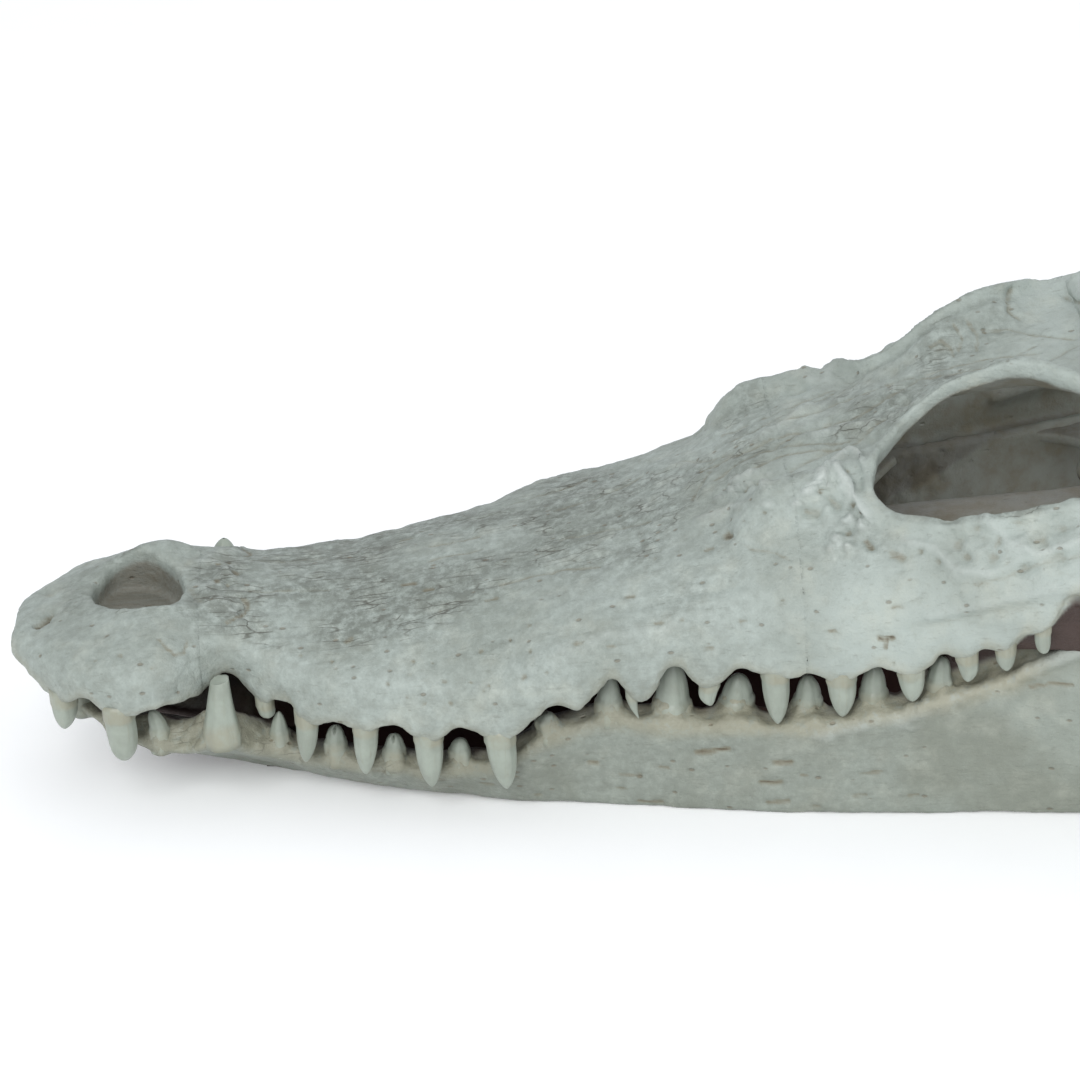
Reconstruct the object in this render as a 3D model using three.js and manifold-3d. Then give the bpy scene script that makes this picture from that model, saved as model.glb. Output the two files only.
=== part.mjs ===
// Skull of a young adult crocodile with its lower jaw, life size, resting on its lower jaw.
// Millimetres, +Z up. Until the last step X is the distance behind the snout tip, which
// points to -X in the finished model. Y is 0 in the middle and negative on the animal's left.
import * as THREE from 'three';
import { mergeVertices } from 'three/addons/utils/BufferGeometryUtils.js';
import Module from 'manifold-3d';

const wasm = await Module();
wasm.setup();

// ---------------------------------------------------------------- driving dimensions
const SKULL_LENGTH = 450; // snout tip to the ends of the lower jaw
const FACE_END = 290; // end of the closed face, at the bars behind the orbits
const TABLE_FRONT = 276; // skull table, from the back of the frontal
const TABLE_BACK = 352;
const TABLE_TILT = 3.5; // degrees that the table rises towards the back
const TABLE_TOP = 106; // height of the table's front edge
const TABLE_THICKNESS = 11;
const ORBIT_MIDDLE = { x: 249, y: 41.5 };
const ORBIT_HALF_LENGTH = 34.5;
const ORBIT_HALF_WIDTH = 17;
const ORBIT_TURN = 8; // degrees that the orbits open outwards towards the back
const NARIS_MIDDLE = 34; // nostril opening, on top of the snout tip
const NARIS_HALF_LENGTH = 12;
const NARIS_HALF_WIDTH = 11.5;
const WALL = 7; // bone between the outer face and the hollow behind the snout
const PALATE_FLOOR = 50; // height of the hollow's floor above the palate
const SYMPHYSIS_END = 58; // the two lower jaws meet in front of this
const JAW_FLOOR = 0; // the lower jaws rest on this level
const GAP = 0.3; // between neighbouring bones
const SMALLEST_DETAIL = 0.06; // slivers thinner than this are merged into their neighbours

// ---------------------------------------------------------------- profiles along the skull
// A smooth curve through a few [station, value] pairs, level beyond its ends.
function profile(...knots) {
  const slope = (i) => {
    const before = knots[Math.max(i - 1, 0)];
    const after = knots[Math.min(i + 1, knots.length - 1)];
    return (after[1] - before[1]) / (after[0] - before[0]);
  };
  return (x) => {
    if (x <= knots[0][0]) return knots[0][1];
    const next = knots.findIndex((knot) => knot[0] >= x);
    if (next < 0) return knots[knots.length - 1][1];
    const [x0, a] = knots[next - 1];
    const [x1, b] = knots[next];
    const span = x1 - x0;
    const t = (x - x0) / span;
    const ease = t * t * (3 - 2 * t);
    const enter = slope(next - 1) * span * t * (1 - t) * (1 - t);
    const leave = slope(next) * span * t * t * (1 - t);
    return a + (b - a) * ease + enter - leave;
  };
}

const bump = (x, middle, spread) => Math.exp(-(((x - middle) / spread) ** 2));

// Upper jaw and cheeks: half width, middle of the top, edge of the tooth row.
const halfWidth = profile([0, 2], [4, 13], [9, 21], [18, 31], [30, 36], [40, 35.5], [49, 28.5],
  [55, 25.5], [62, 28], [70, 33.5], [85, 40], [110, 47], [132, 51], [165, 50], [190, 54], [220, 61],
  [250, 68], [300, 81], [355, 93]);
const crown = profile([0, 42], [8, 45.5], [27, 50.5], [40, 53], [52, 52], [85, 50.5], [120, 55.5],
  [138, 58.5], [160, 64.5], [178, 72], [198, 82], [221, 91], [241, 97], [290, 105]);
const toothEdge = profile([0, 40], [10, 35], [30, 32.5], [45, 33.5], [55, 37], [63, 31], [75, 26],
  [122, 25.5], [136, 36], [156, 39], [205, 41], [225, 44], [240, 51], [260, 57], [290, 60]);
const palate = profile([0, 42], [20, 40], [55, 41], [75, 34], [122, 36], [160, 43], [220, 46], [290, 46]);

// Lower jaw: foot, outer top edge and inner face as distances from the middle, and heights.
const jawFootY = profile([11, 1], [30, 9], [50, 11], [72, 14], [96, 25], [121, 34], [146, 41],
  [196, 52.5], [265, 62.5], [350, 77], [400, 78], [SKULL_LENGTH, 73]);
const jawTopY = profile([11, 6], [16, 16], [26, 24], [40, 29.5], [53, 33.5], [64, 27.5], [74, 28.5],
  [88, 34], [110, 39.5], [125, 42], [165, 43], [190, 46.5], [220, 54.5], [265, 66], [300, 75], [355, 88],
  [400, 84], [SKULL_LENGTH, 76]);
const jawInnerY = profile([SYMPHYSIS_END, GAP / 2], [72, 5], [96, 16], [121, 25], [146, 31], [196, 41.5],
  [265, 53], [350, 69], [SKULL_LENGTH, 68]);
const jawTop = profile([11, 26], [16, 29], [37, 24], [53, 20], [66, 16], [81, 14], [112, 14.5],
  [134, 22.5], [150, 26.5], [166, 25], [198, 28], [230, 35], [261, 46], [300, 50], [345, 49], [366, 41],
  [385, 38], [SKULL_LENGTH, 43]);
const jawFoot = profile([11, 23], [15, 19], [22, 14.5], [31, 10], [46, 5], [62, 1], [72, JAW_FLOOR],
  [335, JAW_FLOOR], [360, 3], [400, 14], [SKULL_LENGTH, 36]);

// Teeth, front to back: station, length and root diameter, then the right tooth's length where
// it differs. The longest lower one stands in the notch behind the premaxilla, and its left
// fellow is broken. Empty sockets have no entry.
const UPPER_TEETH = [[14, 9.5, 6.5], [28, 14, 7.6], [64, 5, 4], [74.5, 11, 5.3],
  [89, 12.5, 6.2], [104.5, 14, 7.4], [122, 14.5, 8], [155, 5, 4], [174, 7.5, 5.8], [190, 13.5, 6.5],
  [205.5, 10, 7], [222, 9, 6], [235, 6, 5], [244, 5.5, 4.8], [252.5, 6, 4.3]];
const LOWER_TEETH = [[17, 8, 6], [26, 6, 5], [37, 6.5, 4], [53, 18, 8, 26], [67, 9, 5.2], [81, 8, 5.2],
  [95.5, 7.5, 5], [112, 6.5, 5], [134, 7, 5], [149.5, 11, 6], [165, 17, 8.4], [181, 9, 7.6], [198, 9, 6],
  [214, 7.5, 5.8], [229.5, 8.5, 5.4]];
const TOOTH_SIDES = 6;
const TOOTH_ROOT = 3; // depth of each tooth in its bone
const UPPER_TOOTH_INSET = 3.5; // from the jaw's outline to the middle of the tooth row
const LOWER_TOOTH_INSET = 3;

// ---------------------------------------------------------------- closed shapes and booleans
function solidFrom(geometry) {
  geometry.deleteAttribute('normal');
  geometry.deleteAttribute('uv');
  const merged = mergeVertices(geometry, 1e-4);
  const vertProperties = new Float32Array(merged.attributes.position.array);
  const triVerts = new Uint32Array(merged.index.array);
  return new wasm.Manifold(new wasm.Mesh({ numProp: 3, vertProperties, triVerts }));
}

// Skins a run of rings with equal point counts. A one-point end ring closes to a tip.
function loft(rings) {
  const positions = [];
  const triangle = (...corners) => corners.forEach((corner) => positions.push(...corner));
  const lastRing = rings.length - 1;
  for (let i = 0; i < lastRing; i += 1) {
    const [near, far] = [rings[i], rings[i + 1]];
    const count = Math.max(near.length, far.length);
    for (let j = 0; j < count; j += 1) {
      const k = (j + 1) % count;
      if (far.length === 1) {
        triangle(near[j], near[k], far[0]);
      } else {
        triangle(near[j], near[k], far[k]);
        triangle(near[j], far[k], far[j]);
      }
    }
  }
  const close = (ring, turned) => {
    const middle = [0, 1, 2].map((axis) => ring.reduce((sum, p) => sum + p[axis], 0) / ring.length);
    ring.forEach((point, j) => {
      const next = ring[(j + 1) % ring.length];
      if (turned) triangle(next, point, middle);
      else triangle(point, next, middle);
    });
  };
  close(rings[0], true);
  if (rings[lastRing].length > 1) close(rings[lastRing], false);
  const geometry = new THREE.BufferGeometry();
  geometry.setAttribute('position', new THREE.Float32BufferAttribute(positions, 3));
  const solid = solidFrom(geometry);
  return solid.volume() < 0 ? flipped(rings) : solid;
}

function flipped(rings) {
  return loft(rings.map((ring) => [...ring].reverse()));
}

// A bar of oval sections: each station has a middle and two half axes.
function bar(stations, sides = 10) {
  return loft(stations.map(({ at, wide, thick }) => {
    const [middle, a, b] = [at, wide, thick].map((v) => new THREE.Vector3(...v));
    return Array.from({ length: sides }, (_, i) => {
      const turn = (2 * Math.PI * i) / sides;
      const point = middle.clone().addScaledVector(a, Math.cos(turn)).addScaledVector(b, Math.sin(turn));
      return point.toArray();
    });
  }));
}

// A plan outline in X and Y, raised from the level `low` by `height`.
function raised(shape, low, height) {
  const options = { depth: height, bevelEnabled: false, curveSegments: 8 };
  const geometry = new THREE.ExtrudeGeometry(shape, options);
  geometry.translate(0, 0, low);
  return solidFrom(geometry);
}

// An outline in Y and Z, run along X between two stations.
function upright(outline, front, back) {
  const shape = new THREE.Shape(outline.map(([y, z]) => new THREE.Vector2(y, z)));
  const geometry = new THREE.ExtrudeGeometry(shape, { depth: back - front, bevelEnabled: false });
  const [x, y, z] = [[1, 0, 0], [0, 1, 0], [0, 0, 1]].map((axis) => new THREE.Vector3(...axis));
  geometry.applyMatrix4(new THREE.Matrix4().makeBasis(y, z, x));
  geometry.translate(front, 0, 0);
  return solidFrom(geometry);
}

function ovalShape(x, y, alongRadius, acrossRadius, degrees, points) {
  const turn = THREE.MathUtils.degToRad(degrees);
  const curve = new THREE.EllipseCurve(x, y, alongRadius, acrossRadius, 0, 2 * Math.PI, false, turn);
  return new THREE.Shape(curve.getPoints(points).slice(0, points));
}

function boxBetween(low, high) {
  const size = low.map((value, i) => high[i] - value);
  const geometry = new THREE.BoxGeometry(...size);
  geometry.translate(...low.map((value, i) => value + size[i] / 2));
  return solidFrom(geometry);
}

const mirrored = (point) => [point[0], -point[1], point[2]];
const join = (solids) => solids.reduce((whole, solid) => whole.add(solid));

// Both copies of a bar that lies beside the middle, given for the animal's right side.
function pairOfBars(stations, sides) {
  const left = stations.map(({ at, wide, thick }) => ({
    at: mirrored(at), wide: mirrored(wide), thick: mirrored(thick),
  }));
  return bar(stations, sides).add(bar(left, sides));
}

// ---------------------------------------------------------------- face: snout, brow and cheeks
// Height of the face's outer surface: a flattened dome over the tooth rows, with the rims
// round the nostrils, the ridges in front of the orbits and the orbits' raised inner rims.
function faceTop(x, y) {
  const lip = 7 * THREE.MathUtils.smoothstep(x, -4, 12) + 3 * THREE.MathUtils.smoothstep(x, 215, 240);
  const foot = toothEdge(x) + lip;
  const across = Math.min(Math.abs(y) / halfWidth(x), 1);
  const dome = foot + (crown(x) - foot) * Math.sqrt(1 - across * across);
  const narisRim = 3.2 * bump(x, 36, 13) * bump(Math.abs(y), 14, 5);
  const browRidge = 6 * bump(x, 201, 22) * bump(Math.abs(y), 32, 7);
  const rimY = 26 + (x - 241) * 0.2;
  const orbitRim = 9 * THREE.MathUtils.smoothstep(x, 230, 247) * bump(Math.abs(y), rimY, 8);
  const frontalDip = -2 * THREE.MathUtils.smoothstep(x, 225, 250) * bump(y, 0, 12);
  return dome + narisRim + browRidge + orbitRim + frontalDip;
}

const FACE_STEPS = 14; // across the dome

function faceRing(x) {
  const w = halfWidth(x);
  const edge = toothEdge(x);
  const roof = Math.max(palate(x), edge + 1);
  const ring = [];
  for (let i = 0; i <= FACE_STEPS; i += 1) {
    const y = -w * Math.cos((Math.PI * i) / FACE_STEPS);
    ring.push([x, y, faceTop(x, y)]);
  }
  const underside = [[w * 0.97, edge], [w * 0.86, edge], [w * 0.76, roof], [w * 0.3, roof + 0.5]];
  underside.forEach(([y, z]) => ring.push([x, y, z]));
  underside.reverse().forEach(([y, z]) => ring.push([x, -y, z]));
  return ring;
}

const FACE_STATIONS = [0, 3, 8, 14, 22, 31, 40, 46, 51, 56, 62, 73, 88, 104, 120, 132, 148, 165, 182,
  200, 212, 226, 241, 256, 272, FACE_END];

// The hollow behind the snout, shared by both orbits and open behind.
function hollowRing(x) {
  const w = (halfWidth(x) - 9) * (0.45 + 0.55 * THREE.MathUtils.smoothstep(x, 200, 222));
  const ring = [];
  for (let i = 0; i <= 8; i += 1) {
    const y = -w * Math.cos((Math.PI * i) / 8);
    const roof = Math.max(faceTop(x, y) - WALL, PALATE_FLOOR + 4);
    ring.push([x, y, roof]);
  }
  ring.push([x, w * 0.9, PALATE_FLOOR], [x, 0, PALATE_FLOOR], [x, -w * 0.9, PALATE_FLOOR]);
  return ring;
}

// Plan of one orbit: an oval in front, running on behind to the bar that closes it.
function orbitPlan(side) {
  const { x, y } = ORBIT_MIDDLE;
  const turn = THREE.MathUtils.degToRad(ORBIT_TURN);
  const points = [];
  for (let i = 0; i <= 10; i += 1) {
    const angle = Math.PI * (0.42 + (1.16 * i) / 10);
    const [along, over] = [ORBIT_HALF_LENGTH * Math.cos(angle), ORBIT_HALF_WIDTH * Math.sin(angle)];
    const px = x + along * Math.cos(turn) - over * Math.sin(turn);
    const py = y + along * Math.sin(turn) + over * Math.cos(turn);
    points.push(new THREE.Vector2(px, side * py));
  }
  const behind = FACE_END + 2;
  points.push(new THREE.Vector2(behind, side * 33), new THREE.Vector2(behind, side * 68));
  return new THREE.Shape(points);
}

// Plan of one opening in the palate, between its middle bar and the tooth row.
function palateOpening(side) {
  const outline = [[200, 24], [214, 15], [245, 13], [272, 14], [283, 24], [284, 45], [274, 57],
    [252, 53], [228, 46], [208, 37]];
  const curve = new THREE.SplineCurve(outline.map(([x, y]) => new THREE.Vector2(x, side * y)));
  return new THREE.Shape(curve.getPoints(12));
}

function makeFace() {
  const hollowStations = [204, 212, 224, 240, 260, FACE_END + 2];
  let face = loft(FACE_STATIONS.map(faceRing));
  face = face.subtract(loft(hollowStations.map(hollowRing)));
  const naris = ovalShape(NARIS_MIDDLE, 0, NARIS_HALF_LENGTH, NARIS_HALF_WIDTH, 0, 14);
  face = face.subtract(raised(naris, 43, 20));
  for (const side of [-1, 1]) {
    face = face.subtract(raised(orbitPlan(side), 62, 60));
    face = face.subtract(raised(palateOpening(side), 40, 14));
  }
  return face;
}

// ---------------------------------------------------------------- back of the cranium
function makeTable() {
  const right = [[TABLE_FRONT, 25], [281, 33], [287, 38], [310, 41], [335, 45], [350, 48.5], [357, 48],
    [356, 41], [TABLE_BACK, 30], [TABLE_BACK - 1, 12]];
  const left = right.map(([x, y]) => [x, -y]).reverse();
  const plan = new THREE.Shape([...right, ...left].map(([x, y]) => new THREE.Vector2(x, y)));
  for (const side of [-1, 1]) {
    const opening = ovalShape(321, side * 22, 13, 9.5, side * 8, 14);
    plan.holes.push(new THREE.Path(opening.getPoints()));
  }
  const slab = raised(plan, -TABLE_THICKNESS, TABLE_THICKNESS);
  const turned = slab.translate([-TABLE_FRONT, 0, 0]).rotate([0, -TABLE_TILT, 0]);
  return turned.translate([TABLE_FRONT, 0, TABLE_TOP]);
}

function makeBraincase() {
  const stations = [
    { at: [280, 0, 84], wide: [0, 9, 0], thick: [0, 0, 15] },
    { at: [300, 0, 80], wide: [0, 12, 0], thick: [0, 0, 20] },
    { at: [320, 0, 77], wide: [0, 15, 0], thick: [0, 0, 25] },
    { at: [338, 0, 78], wide: [0, 22, 0], thick: [0, 0, 26] },
    { at: [349, 0, 82], wide: [0, 21, 0], thick: [0, 0, 22] },
  ];
  const backWall = [[0, 102], [26, 103], [45, 100], [60, 86], [63, 76], [50, 74], [34, 72], [22, 64],
    [14, 56], [0, 52]];
  const outline = [...backWall, ...backWall.slice(1, -1).reverse().map(([y, z]) => [-y, z])];
  const wall = upright(outline, 340, 350);
  const condyle = new THREE.SphereGeometry(6.5, 10, 8).translate(353, 0, 78);
  const brainOpening = new THREE.CylinderGeometry(6, 6, 24, 10).rotateZ(Math.PI / 2);
  brainOpening.translate(350, 0, 90.5);
  return join([bar(stations, 12), wall, solidFrom(condyle)]).subtract(solidFrom(brainOpening));
}

function makeQuadrates() {
  return pairOfBars([
    { at: [323, 37, 98], wide: [19, 3, 0], thick: [0, 5, 0] },
    { at: [338, 49, 82], wide: [15, 7, 0], thick: [-2, 5, 0] },
    { at: [354, 61, 67], wide: [10, 12, 0], thick: [-4, 4, 0] },
    { at: [366, 71, 55], wide: [4, 16, 0], thick: [-6, 1, 0] },
    { at: [371.5, 74, 43.5], wide: [1, 16, -1], thick: [-5.5, 0, 0] },
  ], 12);
}

function makeArches() {
  const jugalBars = pairOfBars([
    { at: [268, 69, 68], wide: [0, 0, 9], thick: [0, 4, 0] },
    { at: [290, 75.5, 65], wide: [0, -1, 7], thick: [0, 4, 0] },
    { at: [318, 82, 60], wide: [0, -1, 6], thick: [0, 3.6, 0] },
    { at: [345, 87.5, 57], wide: [0, -1, 7.5], thick: [0, 3.6, 0] },
    { at: [365, 87.2, 51], wide: [0, -1, 5], thick: [0, 3.2, 0.3] },
  ], 8);
  const cheekPlates = pairOfBars([
    { at: [353, 87, 56], wide: [15, 0, -4], thick: [1, 0, 5] },
    { at: [352, 75, 65], wide: [14, 0, -8], thick: [2, 0, 4] },
    { at: [349, 61, 73], wide: [12, 0, -9], thick: [3, 0, 4] },
  ], 8);
  const orbitBars = pairOfBars([
    { at: [286, 34, 101], wide: [6, 0, 0], thick: [0, 2.5, 4] },
    { at: [284, 46, 93], wide: [4.4, 0, 0], thick: [0, 3, 3.4] },
    { at: [285, 60, 80], wide: [4.2, 0, 0], thick: [0, 3.2, 3] },
    { at: [290, 74, 66], wide: [7, 0, 0], thick: [0, 4, 3] },
  ], 8);
  return join([jugalBars, cheekPlates, orbitBars]);
}

function makePterygoids() {
  const middleBar = bar([
    { at: [192, 0, 49], wide: [0, 14, 0], thick: [0, 0, 5] },
    { at: [235, 0, 50], wide: [0, 11.5, 0], thick: [0, 0, 7] },
    { at: [270, 0, 50], wide: [0, 12.5, 0], thick: [0, 0, 8] },
    { at: [300, 0, 52], wide: [0, 17, 0], thick: [0, 0, 9] },
    { at: [334, 0, 56], wide: [0, 15, 0], thick: [0, 0, 8] },
  ], 10);
  const wings = pairOfBars([
    { at: [302, 8, 48], wide: [27, 0, 0], thick: [0, 0, 4] },
    { at: [304, 24, 42], wide: [24, 0, 0], thick: [0, 1, 3.4] },
    { at: [303, 40, 34], wide: [18, 0, 1], thick: [0, 1.5, 3.2] },
    { at: [301, 49, 27], wide: [11, 0, 1], thick: [0, 2.5, 3] },
  ], 8);
  const sideStruts = pairOfBars([
    { at: [298, 45, 31], wide: [9, 0, 1], thick: [0, 3, -2.5] },
    { at: [290, 56, 42], wide: [7, 0, 2], thick: [0, 3.5, -3] },
    { at: [284, 68, 55], wide: [9, 0, 2], thick: [0, 4, -4] },
  ], 8);
  return join([middleBar, wings, sideStruts]);
}

// ---------------------------------------------------------------- teeth
// A tapered cone with a slight backward curve. `rise` is 1 for the lower jaw, -1 for the upper.
function tooth(x, y, z, length, diameter, rise) {
  const radius = diameter / 2;
  const levels = [[-TOOTH_ROOT, 1], [length * 0.45, 0.88], [length * 0.8, 0.45]];
  const rings = levels.map(([height, width]) => Array.from({ length: TOOTH_SIDES }, (_, i) => {
    const turn = (2 * Math.PI * i) / TOOTH_SIDES;
    const along = 0.06 * Math.max(height, 0) + radius * width * Math.cos(turn);
    return [x + along, y + radius * width * Math.sin(turn), z + rise * height];
  }));
  rings.push([[x + 0.1 * length, y, z + rise * length]]);
  return loft(rings);
}

function toothRow(teeth, side, rowY, rowZ, rise) {
  return teeth.map(([x, left, diameter, right = left]) => (
    tooth(x, side * rowY(x), rowZ(x), side < 0 ? left : right, diameter, rise)));
}

// ---------------------------------------------------------------- lower jaw
function jawRing(x, side) {
  const inner = x < SYMPHYSIS_END ? GAP / 2 : jawInnerY(x);
  const foot = Math.max(jawFootY(x), inner + 3);
  const [top, bottom] = [jawTop(x), Math.max(jawFoot(x), JAW_FLOOR)];
  const outer = Math.max(jawTopY(x), foot + 0.5);
  const tall = top - bottom;
  const crest = Math.max(outer - 13, inner);
  const belly = foot + (outer - foot) * 0.55;
  const ring = [
    [inner, bottom + (x < SYMPHYSIS_END ? 1 : 3)],
    [inner + (foot - inner) * 0.5, bottom],
    [foot, bottom],
    [belly, bottom + tall * 0.3],
    [outer, bottom + tall * 0.72],
    [outer - 1, top - 0.5],
    [outer - 5, top + 0.5],
    [crest, top - 1.5],
    [Math.max(crest - 1.5, inner), bottom + tall * 0.6],
  ];
  return ring.map(([y, z]) => [x, side * y, z]);
}

const JAW_STATIONS = [11, 14, 19, 26, 36, 46, 52, 58, 66, 76, 90, 106, 120, 132, 142, 154, 166, 182,
  200, 220, 240, 262, 285, 310, 335, 350, 362, 374, 390, 420, SKULL_LENGTH];
const JAW_OPENING = { x: 303, z: 23, halfLength: 19, halfHeight: 8, turn: 8 };

function makeJaw(side) {
  const ramus = loft(JAW_STATIONS.map((x) => jawRing(x, side)));
  const { x, z, halfLength, halfHeight, turn } = JAW_OPENING;
  const plan = ovalShape(x, -z, halfLength, halfHeight, -turn, 14);
  const opening = raised(plan, -100, 200).rotate([-90, 0, 0]);
  return ramus.subtract(opening);
}

// ---------------------------------------------------------------- parting into bones
const FAR = 600;

// A box of space. An end given as null runs on past the skull.
function cell(low, high) {
  return { low: low.map((v) => v ?? -FAR), high: high.map((v) => v ?? FAR) };
}

function grown({ low, high }, by) {
  return boxBetween(low.map((v) => v - by), high.map((v) => v + by));
}

function largestBody(solid) {
  const bodies = solid.decompose();
  return bodies.reduce((best, body) => (body.volume() > best.volume() ? body : best));
}

// Takes what lies in each named cell out of `whole`; the last name gets what is left.
function parted(whole, cells, restName) {
  const bones = {};
  let rest = whole;
  for (const [name, space] of Object.entries(cells)) {
    bones[name] = rest.intersect(grown(space, -GAP / 2));
    rest = rest.subtract(grown(space, GAP / 2));
  }
  bones[restName] = rest;
  return bones;
}

const SNOUT_CUTS = { premaxilla: 49, maxilla: 197 };
const ROOF_HALF_WIDTH = 34;
const ROOF_UNDERSIDE = 66;
const PALATE_HALF_WIDTH = 16;
const TABLE_UNDERSIDE = 94.3;
const BRAINCASE_HALF_WIDTH = 31;
const BRAINCASE_UNDERSIDE = 58;
const PTERYGOID_FRONT = 276;
const QUADRATE_FRONT = 330;
const JAW_CUTS = { dentary: 263, surangular: 364 };

function craniumBones() {
  const rowY = (x) => halfWidth(x) - UPPER_TOOTH_INSET;
  const upperTeeth = [-1, 1].flatMap((side) => toothRow(UPPER_TEETH, side, rowY, toothEdge, -1));
  const back = join([makeTable(), makeBraincase(), makeQuadrates(), makeArches(), makePterygoids()]);
  const whole = join([makeFace(), back, ...upperTeeth]);
  const named = parted(whole, {
    premaxilla: cell([null, null, null], [SNOUT_CUTS.premaxilla, null, null]),
    maxilla: cell([null, null, null], [SNOUT_CUTS.maxilla, null, null]),
    skull_table: cell([TABLE_FRONT, null, TABLE_UNDERSIDE], [null, null, null]),
    frontal: cell([null, -ROOF_HALF_WIDTH, ROOF_UNDERSIDE], [TABLE_FRONT, ROOF_HALF_WIDTH, null]),
    palatines: cell([null, -PALATE_HALF_WIDTH, null], [PTERYGOID_FRONT, PALATE_HALF_WIDTH, null]),
    braincase: cell([PTERYGOID_FRONT, -BRAINCASE_HALF_WIDTH, BRAINCASE_UNDERSIDE],
      [null, BRAINCASE_HALF_WIDTH, null]),
    pterygoids: cell([PTERYGOID_FRONT, -55, null], [null, 55, BRAINCASE_UNDERSIDE]),
    quadrate_left: cell([QUADRATE_FRONT, null, null], [null, 0, null]),
    quadrate_right: cell([QUADRATE_FRONT, 0, null], [null, null, null]),
    jugal_left: cell([null, null, null], [null, 0, null]),
  }, 'jugal_right');
  return named;
}

function jawBones(side, name) {
  const rowY = (x) => jawTopY(x) - LOWER_TOOTH_INSET;
  const lowerTeeth = toothRow(LOWER_TEETH, side, rowY, jawTop, 1);
  const whole = join([makeJaw(side), ...lowerTeeth]);
  return parted(whole, {
    [`dentary_${name}`]: cell([null, null, null], [JAW_CUTS.dentary, null, null]),
    [`surangular_${name}`]: cell([null, null, null], [JAW_CUTS.surangular, null, null]),
  }, `articular_${name}`);
}

// ---------------------------------------------------------------- meshes
const BONE_COLOURS = { snout: 0xc9ccc0, roof: 0xc3c7bb, back: 0xbfc2b4, jaw: 0xc4c8bc };

function colourOf(name) {
  if (/premaxilla|maxilla/.test(name)) return BONE_COLOURS.snout;
  if (/frontal|table|jugal/.test(name)) return BONE_COLOURS.roof;
  if (/dentary|surangular|articular/.test(name)) return BONE_COLOURS.jaw;
  return BONE_COLOURS.back;
}

function meshFrom(name, solid) {
  const { vertProperties, triVerts, numProp } = largestBody(solid.simplify(SMALLEST_DETAIL)).getMesh();
  const geometry = new THREE.BufferGeometry();
  const positions = new Float32Array((vertProperties.length / numProp) * 3);
  for (let i = 0; i < positions.length / 3; i += 1) {
    positions.set(vertProperties.subarray(i * numProp, i * numProp + 3), i * 3);
  }
  geometry.setAttribute('position', new THREE.BufferAttribute(positions, 3));
  geometry.setIndex(new THREE.BufferAttribute(new Uint32Array(triVerts), 1));
  geometry.computeVertexNormals();
  const material = new THREE.MeshStandardMaterial({ color: colourOf(name), roughness: 0.62 });
  const mesh = new THREE.Mesh(geometry, material);
  mesh.name = name;
  return mesh;
}

const skull = new THREE.Group();
const bones = { ...craniumBones(), ...jawBones(-1, 'left'), ...jawBones(1, 'right') };
for (const [name, solid] of Object.entries(bones)) skull.add(meshFrom(name, solid));

// The finished origin is under the middle of the whole skull, on the level it rests on.
const bounds = new THREE.Box3().setFromObject(skull);
skull.position.set(-(bounds.min.x + bounds.max.x) / 2, -(bounds.min.y + bounds.max.y) / 2, -bounds.min.z);

export default skull;
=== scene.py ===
"""Crocodile skull on a pale studio floor: weathered bone, sockets, teeth and soft light.

Shapes are worked out in skull millimetres: s is the distance behind the snout tip, y is
negative on the animal's left, z is the height above the floor. metres() turns them into
the frame's own coordinates.
"""

from functools import partial

import bpy
import numpy as np
import openvdb
from mathutils import Matrix, Vector


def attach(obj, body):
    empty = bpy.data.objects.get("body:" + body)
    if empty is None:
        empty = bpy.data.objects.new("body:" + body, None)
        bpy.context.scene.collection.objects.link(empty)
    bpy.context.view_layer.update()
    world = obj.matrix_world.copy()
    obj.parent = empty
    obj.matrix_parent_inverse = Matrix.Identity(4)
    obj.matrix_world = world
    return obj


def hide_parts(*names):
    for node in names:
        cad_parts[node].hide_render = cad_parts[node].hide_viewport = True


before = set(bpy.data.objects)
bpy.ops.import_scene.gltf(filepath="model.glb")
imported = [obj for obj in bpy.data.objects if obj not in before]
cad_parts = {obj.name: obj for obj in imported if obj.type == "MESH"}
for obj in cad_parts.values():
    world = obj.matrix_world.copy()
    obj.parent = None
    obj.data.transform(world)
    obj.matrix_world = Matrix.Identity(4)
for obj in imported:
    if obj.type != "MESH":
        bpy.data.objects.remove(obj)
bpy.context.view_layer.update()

# ------------------------------------------------------------------ sizes, in millimetres
SKULL_LENGTH = 450.0
FACE_END = 290.0  # back of the shell that is drawn as rings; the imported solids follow
BACK_START = 262.0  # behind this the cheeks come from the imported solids
NARIS_FLOOR = 42.5
PALATE_FLOOR = 50.0  # floor of the hollow under the orbits
ORBIT_FLOOR = 62.0  # height down to which the orbits are cut through the roof
WALL = 4.5  # thickness of the roof over the hollow
FLANGE_FOOT = 46.5  # foot of the bone wall inside the last upper teeth
NOSE = 2.4  # what softening would take off the snout tip
RIDGE_TOP = 51.5  # top of the ridge inside the last lower teeth
MIDLINE_GAP = 0.15  # half the gap between the halves of the lower jaw where they meet
SYMPHYSIS_END = 58.0  # where the halves of the lower jaw part
JAW_START = 11.0
JAW_OPENING = (303.0, 23.0, 19.0, 8.0, np.radians(8.0))  # middle, half sizes and turn
CRANIUM_LOW, CRANIUM_HIGH = (0, -95, 10), (372, 95, 113)  # corners of the cranium's grid
JAW_REACH, JAW_HIGH = 95, 55  # the jaw's grid, outwards and upwards
# Reach and inset of the dark sheet of painted shadow on the floor under the jaws.
SHADOW_SHEET_END = 238.0
SHADOW_SHEET_INSET = 2.0
VOXEL = 0.75
BAND = 8.0  # narrow band each side of a surface, in voxels
MARGIN = 4.1  # empty space round a field; keeps the cuts off the grid's own planes
SKIN = 0.9  # how far the fields are softened
RIM_SKIN = 0.6  # the same, once the orbits' rims are on
FAR = 600.0
CORNER = 0.7 * VOXEL  # points this near both surface and cut are the seam's
OVERLAP = 0.2  # how far each bone runs on past its cuts, so that no hairline shows
FADE = 3.0  # depth at which weathering no longer moves a cut
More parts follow.
